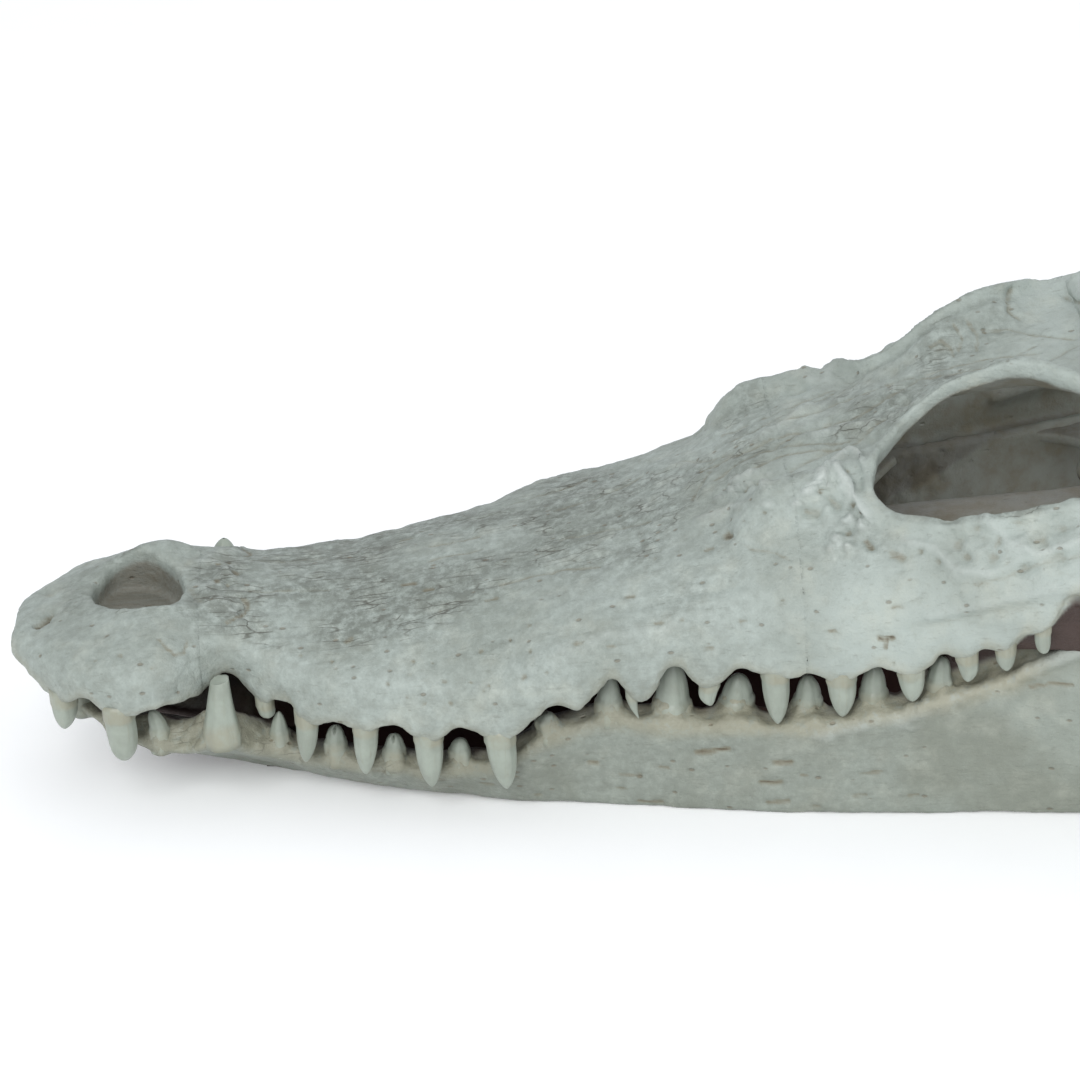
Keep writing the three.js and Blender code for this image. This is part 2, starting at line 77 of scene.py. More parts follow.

# How strong each kind of weathering and of painted shade is, from 0 to 1.
NARIS_STAIN = 0.5
# painted shade inside the nostril, below
NARIS_SHADE = 0.42
FLOOR_SHADE = 0.4  # how much painted shade darkens the floor inside the orbits
SIDE_GRIME = 0.4  # faint dirt all over the snout
NEAR_SHARE = 0.3  # the near marks, as they show on the right side
NEAR_KNOBS = 0.15  # the knobbly patches, as they show on the right side

# Where the cranium and the jaw part into bones, as in the part's source.
PREMAXILLA_END = 49.0
MAXILLA_END = 197.0
ROOF_HALF_WIDTH = 34.0
ROOF_UNDERSIDE = 66.0
TABLE_FRONT = 276.0
TABLE_UNDERSIDE = 94.3
PALATE_HALF_WIDTH = 16.0
PTERYGOID_FRONT = 276.0
PTERYGOID_HALF_WIDTH = 55.0
BRAINCASE_HALF_WIDTH = 31.0
BRAINCASE_UNDERSIDE = 58.0
QUADRATE_FRONT = 330.0
DENTARY_END = 263.0
SURANGULAR_END = 364.0

CRANIUM_BACK = (
    "skull_table",
    "braincase",
    "pterygoids",
    "palatines",
    "quadrate_left",
    "quadrate_right",
)
CHEEKS = ("jugal_left", "jugal_right")


def profile(*knots):
    """A smooth curve through a few (station, value) pairs, level beyond its ends."""
    xs, vs = (np.array(column, float) for column in zip(*knots))
    last = len(xs) - 1
    before = np.maximum(np.arange(last + 1) - 1, 0)
    after = np.minimum(np.arange(last + 1) + 1, last)
    slopes = (vs[after] - vs[before]) / (xs[after] - xs[before])

    def value(x):
        x = np.clip(np.asarray(x, float), xs[0], xs[-1])
        i = np.clip(np.searchsorted(xs, x, side="right") - 1, 0, last - 1)
        span = xs[i + 1] - xs[i]
        t = (x - xs[i]) / span
        ease = t * t * (3 - 2 * t)
        enter = slopes[i] * span * t * (1 - t) ** 2
        leave = slopes[i + 1] * span * t * t * (1 - t)
        return vs[i] + (vs[i + 1] - vs[i]) * ease + enter - leave

    return value


def smoothstep(x, low, high):
    t = np.clip((x - low) / (high - low), 0.0, 1.0)
    return t * t * (3 - 2 * t)


def bump(x, middle, spread):
    return np.exp(-(((x - middle) / spread) ** 2))


# The part's own profiles, then finer ones for the edges of the tooth rows.
half_width = profile(
    (0, 2), (4, 13), (9, 21), (18, 31), (30, 36), (40, 35.5), (49, 28.5), (55, 25.5), (62, 28),
    (70, 33.5), (85, 40), (110, 47), (132, 51), (165, 50), (190, 54), (220, 61), (250, 68),
    (300, 81), (355, 93),
)
crown = profile(
    (0, 42), (8, 45.5), (27, 50.5), (40, 53), (52, 52), (85, 50.5), (120, 55.5), (138, 58.5),
    (160, 64.5), (178, 72), (198, 82), (221, 90), (238, 95.5), (252, 98.5), (290, 105),
)
tooth_edge = profile(
    (0, 40), (10, 35), (30, 32.5), (45, 33.5), (55, 37), (63, 31), (75, 26), (122, 25.5),
    (136, 36), (156, 39), (205, 41), (225, 44), (240, 51), (260, 57), (290, 60),
)
palate = profile(
    (0, 42), (14, 39.5), (24, 38.2), (46, 38.2), (55, 41), (75, 34), (122, 36), (160, 43),
    (220, 46), (290, 46),
)
upper_margin = profile(
    (0, 39), (5.7, 35.5), (9.5, 32.2), (13.5, 30.5), (20, 35), (25, 30.8), (32, 30.2), (38, 31.6),
    (44, 31.2), (48.6, 31.4), (52, 34.8), (57, 34.4), (60.5, 29), (64, 27), (67, 29.2),
    (70, 30), (73, 25.2), (79, 25.1), (82, 26.3), (89, 24.4), (96, 27), (104.7, 23.2),
    (112.5, 27.6), (118, 24.4), (124, 24), (129, 28), (133, 32), (137, 33), (142, 31),
    (145, 34.6), (148, 38.6), (150.7, 40.4), (153, 36.8), (156.5, 31.8), (159, 34),
    (163, 40.5), (166.7, 42), (170, 37.4), (173.6, 35.4), (177, 37.4), (181, 41.2), (186, 39),
    (190, 38.7), (194, 38.2), (198, 40.2), (202, 38.6), (206, 38.4), (210, 40.4), (214, 43.3),
    (218, 41.8), (222, 40.8), (225, 43), (229, 47.3), (232, 46.4), (235, 45.4), (239, 49.3),
    (244, 48), (248, 53.8), (252, 53.5), (256, 60), (259, 64.5), (266, 65), (290, 62),
)
jaw_foot_y = profile(
    (11, 1), (30, 9), (50, 11), (72, 14), (96, 25), (121, 34), (146, 41), (196, 52.5),
    (265, 62.5), (350, 77), (400, 78), (450, 73),
)
jaw_top_y = profile(
    (11, 6), (16, 16), (26, 24), (40, 29.5), (53, 33.5), (64, 27.5), (74, 28.5), (88, 34),
    (110, 39.5), (125, 42), (165, 43), (190, 46.5), (220, 54.5), (265, 66), (300, 75),
    (355, 88), (400, 84), (450, 76),
)
jaw_inner_y = profile(
    (SYMPHYSIS_END, MIDLINE_GAP), (72, 5), (96, 16), (121, 25), (146, 31), (196, 41.5),
    (265, 53), (350, 69), (450, 68),
)
jaw_top = profile(
    (11, 24), (16, 26.5), (26, 23), (37, 19.6), (45, 20.6), (53, 23.2), (60, 18.6), (66, 16),
    (81, 14), (112, 14.2), (122, 16.5), (134, 22.5), (150, 26.8), (158, 25.6), (166, 25.2),
    (182, 26), (198, 26.6), (214, 29.8), (230, 34), (243, 38.4), (253, 43.5), (261, 47), (300, 50),
    (345, 49), (366, 41), (385, 38), (450, 43),
)
jaw_foot = profile(
    (11, 21), (15, 18), (22, 14), (31, 9.5), (46, 5), (62, 1.6), (72, 0), (335, 0), (360, 3),
    (400, 14), (450, 36),
)

# Teeth: station, length, root diameter, lean of the tip towards the back, and form.
UPPER_TEETH = (
    (14, 7.4, 6.4, -0.6, "short"), (28, 12.4, 7.6, 0.4, "stout"), (64, 3.4, 4.4, 0.4, "stub"),
    (74.5, 11, 5.6, -1.2, "long"), (89, 12.2, 6.2, -0.8, "long"),
    (104.5, 13.4, 7.0, 0.0, "long"), (122, 13.6, 7.4, 1.0, "long"),
    (155, 6, 3.0, 1.4, "splinter"), (174, 5.2, 4.9, 0.0, "short"),
    (190, 13.2, 6.8, 0.2, "long"), (205.5, 10, 7.0, 0.2, "short"),
    (222, 7.4, 6.4, 0.2, "short"), (235, 6, 5.2, 0.2, "short"), (244, 5.2, 4.8, 0.2, "short"),
    (252.5, 6, 4.0, 0.2, "stub"),
)
LOWER_TEETH = (
    (17, 8, 5.6, 0.2, "short"), (26, 6, 5, 0.2, "stub"), (37, 8.4, 4.6, -1.2, "stub"),
    (53, 15.2, 9.2, 0.8, "cut"), (67, 8.6, 4.8, 0.2, "short"), (81, 7.6, 5.2, 0.2, "notched"),
    (95.5, 7, 5.2, 0.3, "notched"), (112, 6.0, 5, 0.2, "stub"), (134, 4.6, 5, 0.3, "stub"),
    (149.5, 10.2, 6.2, 0.6, "short"), (165, 16.4, 8.8, 0.6, "leaf"),
    (181, 9.8, 8.0, 0.6, "round"), (198, 9.4, 6.6, 0.2, "round"), (214, 10.4, 6.4, 0.2, "round"),
    (229.5, 9.2, 5.8, 0.6, "stub"),
)
RIGHT_LONG_TOOTH = (53, 23.4)  # station, length: the right fellow of the broken tooth is whole
MOUND = 1.4  # how far the bone rises round a lower tooth
UPPER_TOOTH_INSET = 3.5
LOWER_TOOTH_INSET = 3.0

# Outlines in plan, as (s, distance from the middle).
ORBIT_OUTLINE = (
    (216, 37.5), (217.3, 33), (219.8, 27.5), (224.5, 22.6), (230, 20), (237, 20.4), (244, 22.5),
    (252, 24.6), (258, 27), (263, 31), (269, 34.5), (280, 37), (292, 39), (292, 66), (276, 63),
    (262, 58.8), (252, 57.2), (243, 55), (234, 51.6), (226, 47.2), (219.5, 42.6),
)
ORBIT_MIDDLE = (252, 42)
NARIS_OUTLINE = (
    (21.7, 2), (22.7, -5), (26.8, -10.8), (33, -15), (39.5, -15.8), (43, -14), (44.6, -8),
    (43.8, 0), (40, 7.5), (35, 11.2), (29, 12.4), (24.5, 9.5),
)
PALATE_OPENING = (
    (222, 20), (226, 15), (240, 13), (262, 13), (278, 18), (287, 30), (287, 46), (280, 54.5),
    (266, 57.6), (252, 57), (243, 54), (236, 48.5), (229.5, 39), (224, 28),
)


# ------------------------------------------------------------------ fields of distance
def spline(points, steps=8, closed=True):
    """Catmull-Rom through the points."""
    p = np.array(points, float)
    n = len(p)
    out = []
    for i in range(n if closed else n - 1):
        around = [(i + k) % n if closed else min(max(i + k, 0), n - 1) for k in (-1, 0, 1, 2)]
        a, b, c, d = p[around]
        for t in np.arange(steps) / steps:
            linear = (c - a) * t
            square = (2 * a - 5 * b + 4 * c - d) * t * t
            cube = (3 * b - a - 3 * c + d) * t**3
            out.append(0.5 * (2 * b + linear + square + cube))
    return np.array(out)


class Field:
    """Signed distances on a grid of voxels, negative inside the bone."""

    def __init__(self, low, high):
        self.low = np.array(low, float) - MARGIN
        self.shape = tuple(np.ceil((np.array(high) + MARGIN - self.low) / VOXEL).astype(int))
        self.d = np.full(self.shape, BAND * VOXEL, np.float32)

    def axes(self):
        return [self.low[k] + VOXEL * np.arange(self.shape[k]) for k in range(3)]

    def mesh_distance(self, points, quads=None, triangles=None):
        """The field of a closed mesh on this grid."""
        grid = openvdb.FloatGrid.createLevelSetFromPolygons(
            points=np.ascontiguousarray(points - self.low, dtype=np.float32),
            triangles=None if triangles is None else np.ascontiguousarray(triangles, np.uint32),
            quads=None if quads is None else np.ascontiguousarray(quads, np.uint32),
            transform=openvdb.createLinearTransform(voxelSize=VOXEL),
            halfWidth=BAND,
        )
        out = np.empty(self.shape, np.float32)
        grid.copyToArray(out, ijk=(0, 0, 0))
        return out

    def soften(self, spread):
        """Gaussian blur, which rounds edges and closes hairline gaps."""
        sigma = spread / VOXEL
        reach = int(np.ceil(2.5 * sigma))
        taps = np.exp(-0.5 * (np.arange(-reach, reach + 1) / sigma) ** 2)
        taps = (taps / taps.sum()).astype(np.float32)
        for axis in range(3):
            padded = np.pad(
                self.d, [(reach, reach) if k == axis else (0, 0) for k in range(3)], "edge"
            )
            total = np.zeros_like(self.d)
            for i, tap in enumerate(taps):
                window = [slice(None)] * 3
                window[axis] = slice(i, i + self.shape[axis])
                total += tap * padded[tuple(window)]
            self.d = total

    def window(self, low, high):
        first = np.clip(((np.array(low) - self.low) / VOXEL).astype(int), 0, self.shape)
        last = np.clip(((np.array(high) - self.low) / VOXEL).astype(int) + 2, 0, self.shape)
        view = tuple(slice(a, b) for a, b in zip(first, last))
        at = [(self.low[k] + VOXEL * np.arange(first[k], last[k])) for k in range(3)]
        return view, (at[0][:, None, None], at[1][None, :, None], at[2][None, None, :])

    def stroke(self, path, radius, blend, cut=False):
        """Adds, or cuts, a round bar along a path. A radius may change from end to end."""
        path = np.atleast_2d(np.array(path, float))
        radii = np.broadcast_to(np.atleast_1d(np.array(radius, float)), (len(path),))
        ends = range(max(len(path) - 1, 1))
        for i in ends:
            a, b = path[i], path[min(i + 1, len(path) - 1)]
            ra, rb = radii[i], radii[min(i + 1, len(path) - 1)]
            reach = max(ra, rb) + 2 * blend + VOXEL
            view, (x, y, z) = self.window(np.minimum(a, b) - reach, np.maximum(a, b) + reach)
            if 0 in self.d[view].shape:
                continue
            along = b - a
            length2 = max(float(along @ along), 1e-9)
            t = ((x - a[0]) * along[0] + (y - a[1]) * along[1] + (z - a[2]) * along[2]) / length2
            t = np.clip(t, 0, 1)
            gap2 = (
                (x - a[0] - t * along[0]) ** 2
                + (y - a[1] - t * along[1]) ** 2
                + (z - a[2] - t * along[2]) ** 2
            )
            shape = (np.sqrt(gap2) - (ra + (rb - ra) * t)).astype(np.float32)
            self.merge(view, shape, blend, cut)

    def merge(self, view, shape, blend, cut=False):
        """Smooth union with a shape, or its smooth removal."""
        here = self.d[view]
        a, b = (-here, shape) if cut else (here, shape)
        h = np.clip(0.5 + 0.5 * (b - a) / blend, 0, 1)
        joined = b + (a - b) * h - blend * h * (1 - h)
        self.d[view] = -joined if cut else joined

    def sample(self, points, array=None):
        """Trilinear values of the field, or of another array on its grid, at points."""
        values = self.d if array is None else array
        at = (points - self.low) / VOXEL
        top = np.array(self.shape) - 2
        i = np.clip(np.floor(at).astype(int), 0, top)
        f = np.clip(at - i, 0, 1)
        out = np.zeros(len(points))
        for corner in range(8):
            bits = np.array([(corner >> k) & 1 for k in range(3)])
            weight = np.prod(np.where(bits, f, 1 - f), axis=1)
            j = i + bits
            out += weight * values[j[:, 0], j[:, 1], j[:, 2]]
        return out

    def slope(self, points, array=None):
        """The gradient at points."""
        steps = np.eye(3) * VOXEL / 2
        rises = [self.sample(points + h, array) - self.sample(points - h, array) for h in steps]
        return np.stack(rises, -1) / VOXEL

    def cells(self, boxes):
        """Each bone's distance to its box, less the boxes before it: negative where it is."""
        s, y, z = self.axes()
        grids = (s[:, None, None], y[None, :, None], z[None, None, :])
        taken = np.full(self.shape, FAR, np.float32)
        for name, (low, high, slot) in boxes.items():
            box = np.full(self.shape, -FAR, np.float32)
            for grid, bottom, top in zip(grids, low, high):
                if bottom is not None:
                    box = np.maximum(box, (bottom - grid).astype(np.float32))
                if top is not None:
                    box = np.maximum(box, (grid - top).astype(np.float32))
            yield name, slot, np.maximum(box, -taken) - OVERLAP
            taken = np.minimum(taken, box)

    def to_mesh(self, claim):
        """Points and quads of the surface of what a cell holds."""
        grid = openvdb.FloatGrid(BAND * VOXEL)
        held = np.clip(np.maximum(self.d, claim), -BAND * VOXEL, BAND * VOXEL)
        grid.copyFromArray(np.ascontiguousarray(held, dtype=np.float32))
        grid.transform = openvdb.createLinearTransform(voxelSize=VOXEL)
        points, quads = grid.convertToQuads(isovalue=0.0)
        return points.astype(float) + self.low, quads


def loft(rings):
    """Points, quads and end triangles of a skin over rings of equal point counts."""
    rings = np.array(rings, float)
    n, m = rings.shape[:2]
    base = np.arange(n - 1)[:, None] * m + np.arange(m)[None]
    after = np.arange(n - 1)[:, None] * m + (np.arange(m)[None] + 1) % m
    quads = np.stack([base, base + m, after + m, after], -1).reshape(-1, 4)
    points = rings.reshape(-1, 3)
    ends = np.array([rings[0].mean(0), rings[-1].mean(0)])
    first, last = len(points), len(points) + 1
    ring = np.arange(m)
    turn = (ring + 1) % m
    tail = (n - 1) * m
    front = np.stack([np.full(m, first), ring, turn], -1)
    back = np.stack([np.full(m, last), tail + turn, tail + ring], -1)
    return np.vstack([points, ends]), quads, np.vstack([front, back])


def plan_distance(field, outline):
    """Signed distance to a closed outline in plan, as an array over s and y."""
    s, y, _ = field.axes()
    gs, gy = np.meshgrid(s, y, indexing="ij")
    best = np.full(gs.shape, 1e9)
    inside = np.zeros(gs.shape, bool)
    a = np.array(outline)
    for p, q in zip(a, np.roll(a, -1, 0)):
        e = q - p
        t = np.clip(((gs - p[0]) * e[0] + (gy - p[1]) * e[1]) / max(e @ e, 1e-9), 0, 1)
        gap = (gs - p[0] - t * e[0]) ** 2 + (gy - p[1] - t * e[1]) ** 2
        best = np.minimum(best, gap)
        if p[1] != q[1]:
            crosses = (gy >= min(p[1], q[1])) & (gy < max(p[1], q[1]))
            at = p[0] + (gy - p[1]) / (q[1] - p[1]) * e[0]
            inside ^= crosses & (gs < at)
    return np.where(inside, -1, 1) * np.sqrt(best)


# ------------------------------------------------------------------ camera
LOOK_DOWN, LOOK_ASIDE, ROLL = np.radians((26.0, 2.0, -3.0))
DISTANCE = 850.0
FOCAL_PIXELS = 3335.0
IMAGE = 1080.0
AIM = np.array((136.0, 0.0, 55.0))
SENSOR = 36.0
RAY_START_Y = -120.0  # the camera's rays are followed from here
RAY_STEPS = 160
RAY_STRIDE = 0.8  # share of the distance to the surface that a ray moves in one step


def camera_axes():
    ahead = np.array(
        [
            np.sin(LOOK_ASIDE) * np.cos(LOOK_DOWN),
            np.cos(LOOK_ASIDE) * np.cos(LOOK_DOWN),
            -np.sin(LOOK_DOWN),
        ]
    )
    right = np.array([np.cos(LOOK_ASIDE), -np.sin(LOOK_ASIDE), 0.0])
    up = np.cross(right, ahead)
    turned_right = np.cos(ROLL) * right + np.sin(ROLL) * up
    turned_up = -np.sin(ROLL) * right + np.cos(ROLL) * up
    return ahead, turned_right, turned_up


def on_surface(field, places):
    """Where the camera's rays through these picture places meet the field's surface."""
    ahead, right, up = camera_axes()
    px = np.array(places, float)
    rays = (
        ahead
        + right * ((px[:, :1] - IMAGE / 2) / FOCAL_PIXELS)
        - up * ((px[:, 1:] - IMAGE / 2) / FOCAL_PIXELS)
    )
    rays /= np.linalg.norm(rays, axis=1, keepdims=True)
    eye = AIM - ahead * DISTANCE
    start = (RAY_START_Y - eye[1]) / rays[:, 1]
    points = eye + rays * start[:, None]
    high = field.low + VOXEL * np.array(field.shape)
    for _ in range(RAY_STEPS):
        step = field.sample(points)
        inside = ((points > field.low) & (points < high)).all(1)
        step = np.where(inside, step * RAY_STRIDE, BAND * VOXEL * 0.5)
        points = points + rays * step[:, None]
    return points


# ------------------------------------------------------------------ noise
NOISE_CELLS = 32  # the noise repeats after this many lumps
PIT_CELLS = 24  # and the pits after this many cells


def noise(points, size, seed):
    """Smooth noise from -1 to 1 with lumps about `size` across. A size may differ by axis."""
    rng = np.random.default_rng(seed)
    table = rng.random((NOISE_CELLS,) * 3).astype(np.float32)
    turn = np.linalg.qr(rng.normal(size=(3, 3)))[0]
    p = points / np.array(size, float)
    if np.isscalar(size):
        p = p @ turn
    p = p + rng.random(3) * NOISE_CELLS
    i = np.floor(p).astype(int)
    f = p - i
    f = f * f * (3 - 2 * f)
    total = np.zeros(len(p))
    for corner in range(8):
        bits = np.array([(corner >> k) & 1 for k in range(3)])
        weight = np.prod(np.where(bits, f, 1 - f), axis=1)
        j = (i + bits) % NOISE_CELLS
        total += weight * table[j[:, 0], j[:, 1], j[:, 2]]
    return total * 2 - 1


def rough(points, size, seed, octaves=3):
    """Layers of noise, each half the size and strength of the one before."""
    total = np.zeros(len(points))
    for k in range(octaves):
        total += noise(points, np.array(size, float) / 2**k, seed + k) / 2**k
    return total


def pits(points, cell, share, radius, stretch, seed):
    """0 to 1 depth of scattered round pits, one per cell for a share of the cells.

    stretch lengthens them along s.
    """
    rng = np.random.default_rng(seed)
    size = (PIT_CELLS,) * 3
    jitter = rng.random((*size, 3)).astype(np.float32)
    present = rng.random(size) < share
    radii = (radius * (0.6 + 0.4 * rng.random(size))).astype(np.float32)
    p = points / np.array([stretch, 1, 1]) / cell
    base = np.floor(p).astype(int)
    depth = np.zeros(len(p))
    for shift in np.ndindex(3, 3, 3):
        c = base + np.array(shift) - 1
        w = c % PIT_CELLS
        key = (w[:, 0], w[:, 1], w[:, 2])
        gap = np.linalg.norm(p - c - jitter[key], axis=1) * cell
        hole = np.clip(1 - (gap / radii[key]) ** 2, 0, 1) ** 2 * present[key]
        depth = np.maximum(depth, hole)
    return depth


# ------------------------------------------------------------------ cranium
rim_height = profile(
    (212, 0), (218, 1.5), (224, 2.3), (230, 3.6), (236, 6.2), (244, 8), (252, 9.4), (262, 8),
    (269, 6.4), (290, 5.5),
)
rim_line = profile(
    (212, 33), (219.6, 27), (224.5, 22.6), (230, 20), (237, 20.4), (244, 22.5), (252, 24.6),
    (258, 27), (263, 31), (269, 34.5), (290, 38),
)


def lip_top(s):
    """Height of the upright wall over the upper teeth, from which the roof springs."""
    return tooth_edge(s) + (7 * smoothstep(s, -4, 12) + 3 * smoothstep(s, 215, 240))


def face_top(s, y):
    """Height of the face's outer surface."""
    a = np.abs(y)
    foot = lip_top(s)
    across = np.minimum(a / half_width(s), 1)
    dome = foot + (crown(s) - foot) * np.sqrt(1 - across**2)
    naris_rim = (2.7 + 1.2 * np.sign(y)) * bump(s, 36, 13) * bump(a, 14, 5)
    brow = 8 * smoothstep(s, 178, 190) * (1 - 0.45 * smoothstep(s, 190, 212))
    brow = brow * (1 - smoothstep(s, 210, 224)) * bump(a, 31.5, 6)
    rim = rim_height(s) * bump(a, rim_line(s) - 1, 8)
    saddle = -2.6 * bump(s, 216, 16) * bump(a, 12, 14)
    saddle = saddle - 2 * smoothstep(s, 225, 250) * bump(y, 0, 12)
    return dome + naris_rim + brow + rim + saddle


def swelling(s, teeth):
    """Bulge of the jaw over each root."""
    total = np.zeros_like(s)
    for tooth in teeth:
        total += bump(s, tooth[0], tooth[2] * 0.75) * (0.35 + 0.1 * tooth[2])
    return total


def face_mesh():
    """Rings of the face: the roof from side to side, then the lip, teeth edge and palate."""
    s = np.arange(0, FACE_END + 0.1, 0.8)
    w = half_width(s)
    top = lip_top(s)
    edge = upper_margin(s)
    roof = np.where(s < 200, np.maximum(palate(s), edge + 1), palate(s))
    flange = smoothstep(s, 222, 232)
    inner = (edge + 0.3) * (1 - flange) + np.minimum(edge + 0.3, FLANGE_FOOT) * flange
    nose = NOSE * (1 - smoothstep(s, 0, 16))
    swell = swelling(s, UPPER_TEETH)
    turn = np.pi * np.arange(121) / 120
    small = np.minimum(w / 20, 1)
    rings = []
    for i, x in enumerate(s):
        y = -w[i] * np.cos(turn)
        x_drawn = x - nose[i]
        over = np.stack([np.full_like(y, x_drawn), y, face_top(x, y)], -1)
        k = small[i]
        down = top[i] - edge[i]
        side = [
            (w[i] + swell[i] * 0.9, top[i] - 0.35 * down),
            (w[i] + swell[i] * 1.0, top[i] - 0.7 * down),
            (w[i] - 0.9 * k + swell[i] * 0.7, edge[i] + 0.7),
            (w[i] - 2.4 * k, edge[i]),
            (w[i] - 6.0 * k, inner[i]),
            (w[i] - (8.5 + 3 * flange[i]) * k, inner[i] + 0.4 * (roof[i] - inner[i])),
            (w[i] * 0.72, roof[i]),
            (w[i] * 0.3, roof[i] + 0.5),
        ]
        right = np.array([(x_drawn, a, b) for a, b in side])
        left = right[::-1] * (1, -1, 1)
        rings.append(np.vstack([over, right, left]))
    return loft(rings)


def hollow_mesh():
    """Rings of the space under the roof of the skull."""
    s = np.arange(206, FACE_END + 4, 1.0)
    turn = np.pi * np.arange(161) / 160
    rings = []
    for x in s:
        w = (half_width(x) - 8) * (0.45 + 0.55 * smoothstep(x, 202, 224))
        y = -w * np.cos(turn)
        roof = np.maximum(face_top(np.full_like(y, x), y) - WALL, PALATE_FLOOR + 4)
        ring = np.stack([np.full_like(y, x), y, roof], -1)
        floor = [(x, w * 0.96, PALATE_FLOOR), (x, 0, PALATE_FLOOR), (x, -w * 0.96, PALATE_FLOOR)]
        rings.append(np.vstack([ring, floor]))
    return loft(rings)


def node_mesh(name):
    """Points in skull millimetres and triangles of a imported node."""
    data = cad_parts[name].data
    data.calc_loop_triangles()
    points = np.empty(len(data.vertices) * 3, np.float32)
    data.vertices.foreach_get("co", points)
    triangles = np.empty(len(data.loop_triangles) * 3, np.int32)
    data.loop_triangles.foreach_get("vertices", triangles)
    return points.reshape(-1, 3) * 1000 + (SKULL_LENGTH / 2, 0, 0), triangles.reshape(-1, 3)


def cranium_field():
    """The whole cranium and the two orbits that were cut from it."""
    field = Field(CRANIUM_LOW, CRANIUM_HIGH)
    s, _, z = field.axes()
    height = z[None, None, :]
    d = field.mesh_distance(*face_mesh())
    d = np.maximum(d, -field.mesh_distance(*hollow_mesh()))
    naris = plan_distance(field, spline(NARIS_OUTLINE))
    d = np.maximum(d, -np.maximum(naris[:, :, None], NARIS_FLOOR - height).astype(np.float32))
    orbits = []
    for side in (-1, 1):
        orbit = plan_distance(field, spline(ORBIT_OUTLINE) * (1, side))
        orbit = -np.maximum(orbit[:, :, None], ORBIT_FLOOR - height).astype(np.float32)
        orbits.append(orbit)
        d = np.maximum(d, orbit)
        opening = plan_distance(field, spline(PALATE_OPENING) * (1, side))
        slot = np.maximum(opening[:, :, None], height - PALATE_FLOOR - 3)
        d = np.maximum(d, -slot.astype(np.float32))
    for name in CRANIUM_BACK:
        points, triangles = node_mesh(name)
        d = np.minimum(d, field.mesh_distance(points, triangles=triangles))
    behind = (BACK_START - s)[:, None, None].astype(np.float32)
    for name in CHEEKS:
        points, triangles = node_mesh(name)
        cheek = field.mesh_distance(points, triangles=triangles)
        d = np.minimum(d, np.maximum(cheek, behind))
    field.d = np.clip(d, -BAND * VOXEL, BAND * VOXEL)
    return field, orbits


def on_face(places, side=-1, lift=0.0):
    """Points on the face's outer surface from (s, distance from the middle) pairs."""
    p = np.array(places, float)
    z = face_top(p[:, 0], p[:, 1])
    return np.stack([p[:, 0], side * p[:, 1], z + lift], -1)


def shape_cranium(field, orbits):
    """Rims and grooves round the orbits, cut back to the orbits' outline."""
    for side in (-1, 1):
        rim = spline(ORBIT_OUTLINE[1:11], 4, closed=False) + (0, -1.2)
        lower = spline(ORBIT_OUTLINE[14:] + ORBIT_OUTLINE[:2], 4, closed=False) + (-0.8, 1.2)
        field.stroke(on_face(rim, side, -0.9), 1.5, 1.2)
        field.stroke(on_face(lower, side, -1.1), 1.6, 2.0)
        outline = spline(ORBIT_OUTLINE[:12], 4, closed=False)
        away = outline - ORBIT_MIDDLE
        groove = outline + away / np.linalg.norm(away, axis=1, keepdims=True) * 4.6
        field.stroke(on_face(groove, side, 0.7), 1.6, 1.2, cut=True)
    for orbit in orbits:
        field.d = np.maximum(field.d, orbit)
    field.soften(RIM_SKIN)


# ------------------------------------------------------------------ lower jaw
def jaw_mesh(side):
    """Rings of one half of the lower jaw, from its inner foot outwards, up and over."""
    s = np.arange(JAW_START, SKULL_LENGTH + 0.1, 0.9)
    inner = np.where(s < SYMPHYSIS_END, MIDLINE_GAP, jaw_inner_y(s))
    foot = np.maximum(jaw_foot_y(s), inner + 3)
    swell = swelling(s, LOWER_TEETH)
    between = 1 - np.clip(swell, 0, 1)
    front = 1 - smoothstep(s, 236, 250)
    top = jaw_top(s) + (0.5 * swell - 1.1 * between) * front
    bottom = np.maximum(jaw_foot(s), 0)
    outer = np.maximum(jaw_top_y(s), foot + 0.5)
    tall = top - bottom
    crest = np.maximum(outer - 12, inner)
    ridge = np.maximum(RIDGE_TOP - top, 0) * smoothstep(s, 221, 232) * (1 - smoothstep(s, 275, 310))
    lingual = 3.6 * smoothstep(s, 24, 34) * (1 - smoothstep(s, 58, 72))
    scoop = 1 - smoothstep(s, 58, 84)
    flare = outer - foot
    rings = []
    for i, x in enumerate(s):
        lift = 6 if x < SYMPHYSIS_END else 3
        bulge = swell[i] * front[i]
        ring = [
            (inner[i], bottom[i] + lift),
            (inner[i] + (foot[i] - inner[i]) * 0.5, bottom[i]),
            (foot[i], bottom[i]),
            (foot[i] + flare[i] * 0.3, bottom[i] + tall[i] * (0.1 + 0.18 * scoop[i])),
            (foot[i] + flare[i] * 0.62, bottom[i] + tall[i] * (0.34 + 0.16 * scoop[i])),
            (foot[i] + flare[i] * 0.95, bottom[i] + tall[i] * (0.66 + 0.1 * scoop[i])),
            (outer[i] + bulge * 0.5, bottom[i] + tall[i] * 0.86),
            (outer[i] - 0.6 + bulge * 0.5, top[i] - 0.4),
            (outer[i] - 3, top[i] + 0.2),
            (outer[i] - 6.5, top[i] + 0.3 + lingual[i]),
            (max(outer[i] - 8, crest[i] + 0.5), top[i] + lingual[i] + ridge[i]),
            (crest[i], top[i] - 1.5 + lingual[i] * 0.8 + ridge[i]),
            (max(crest[i] - 1.5, inner[i]), bottom[i] + tall[i] * 0.6),
        ]
        rings.append([(x, side * a, b) for a, b in ring])
    rings = np.array(rings)
    if side < 0:
        rings = rings[:, ::-1]
    return loft(rings)


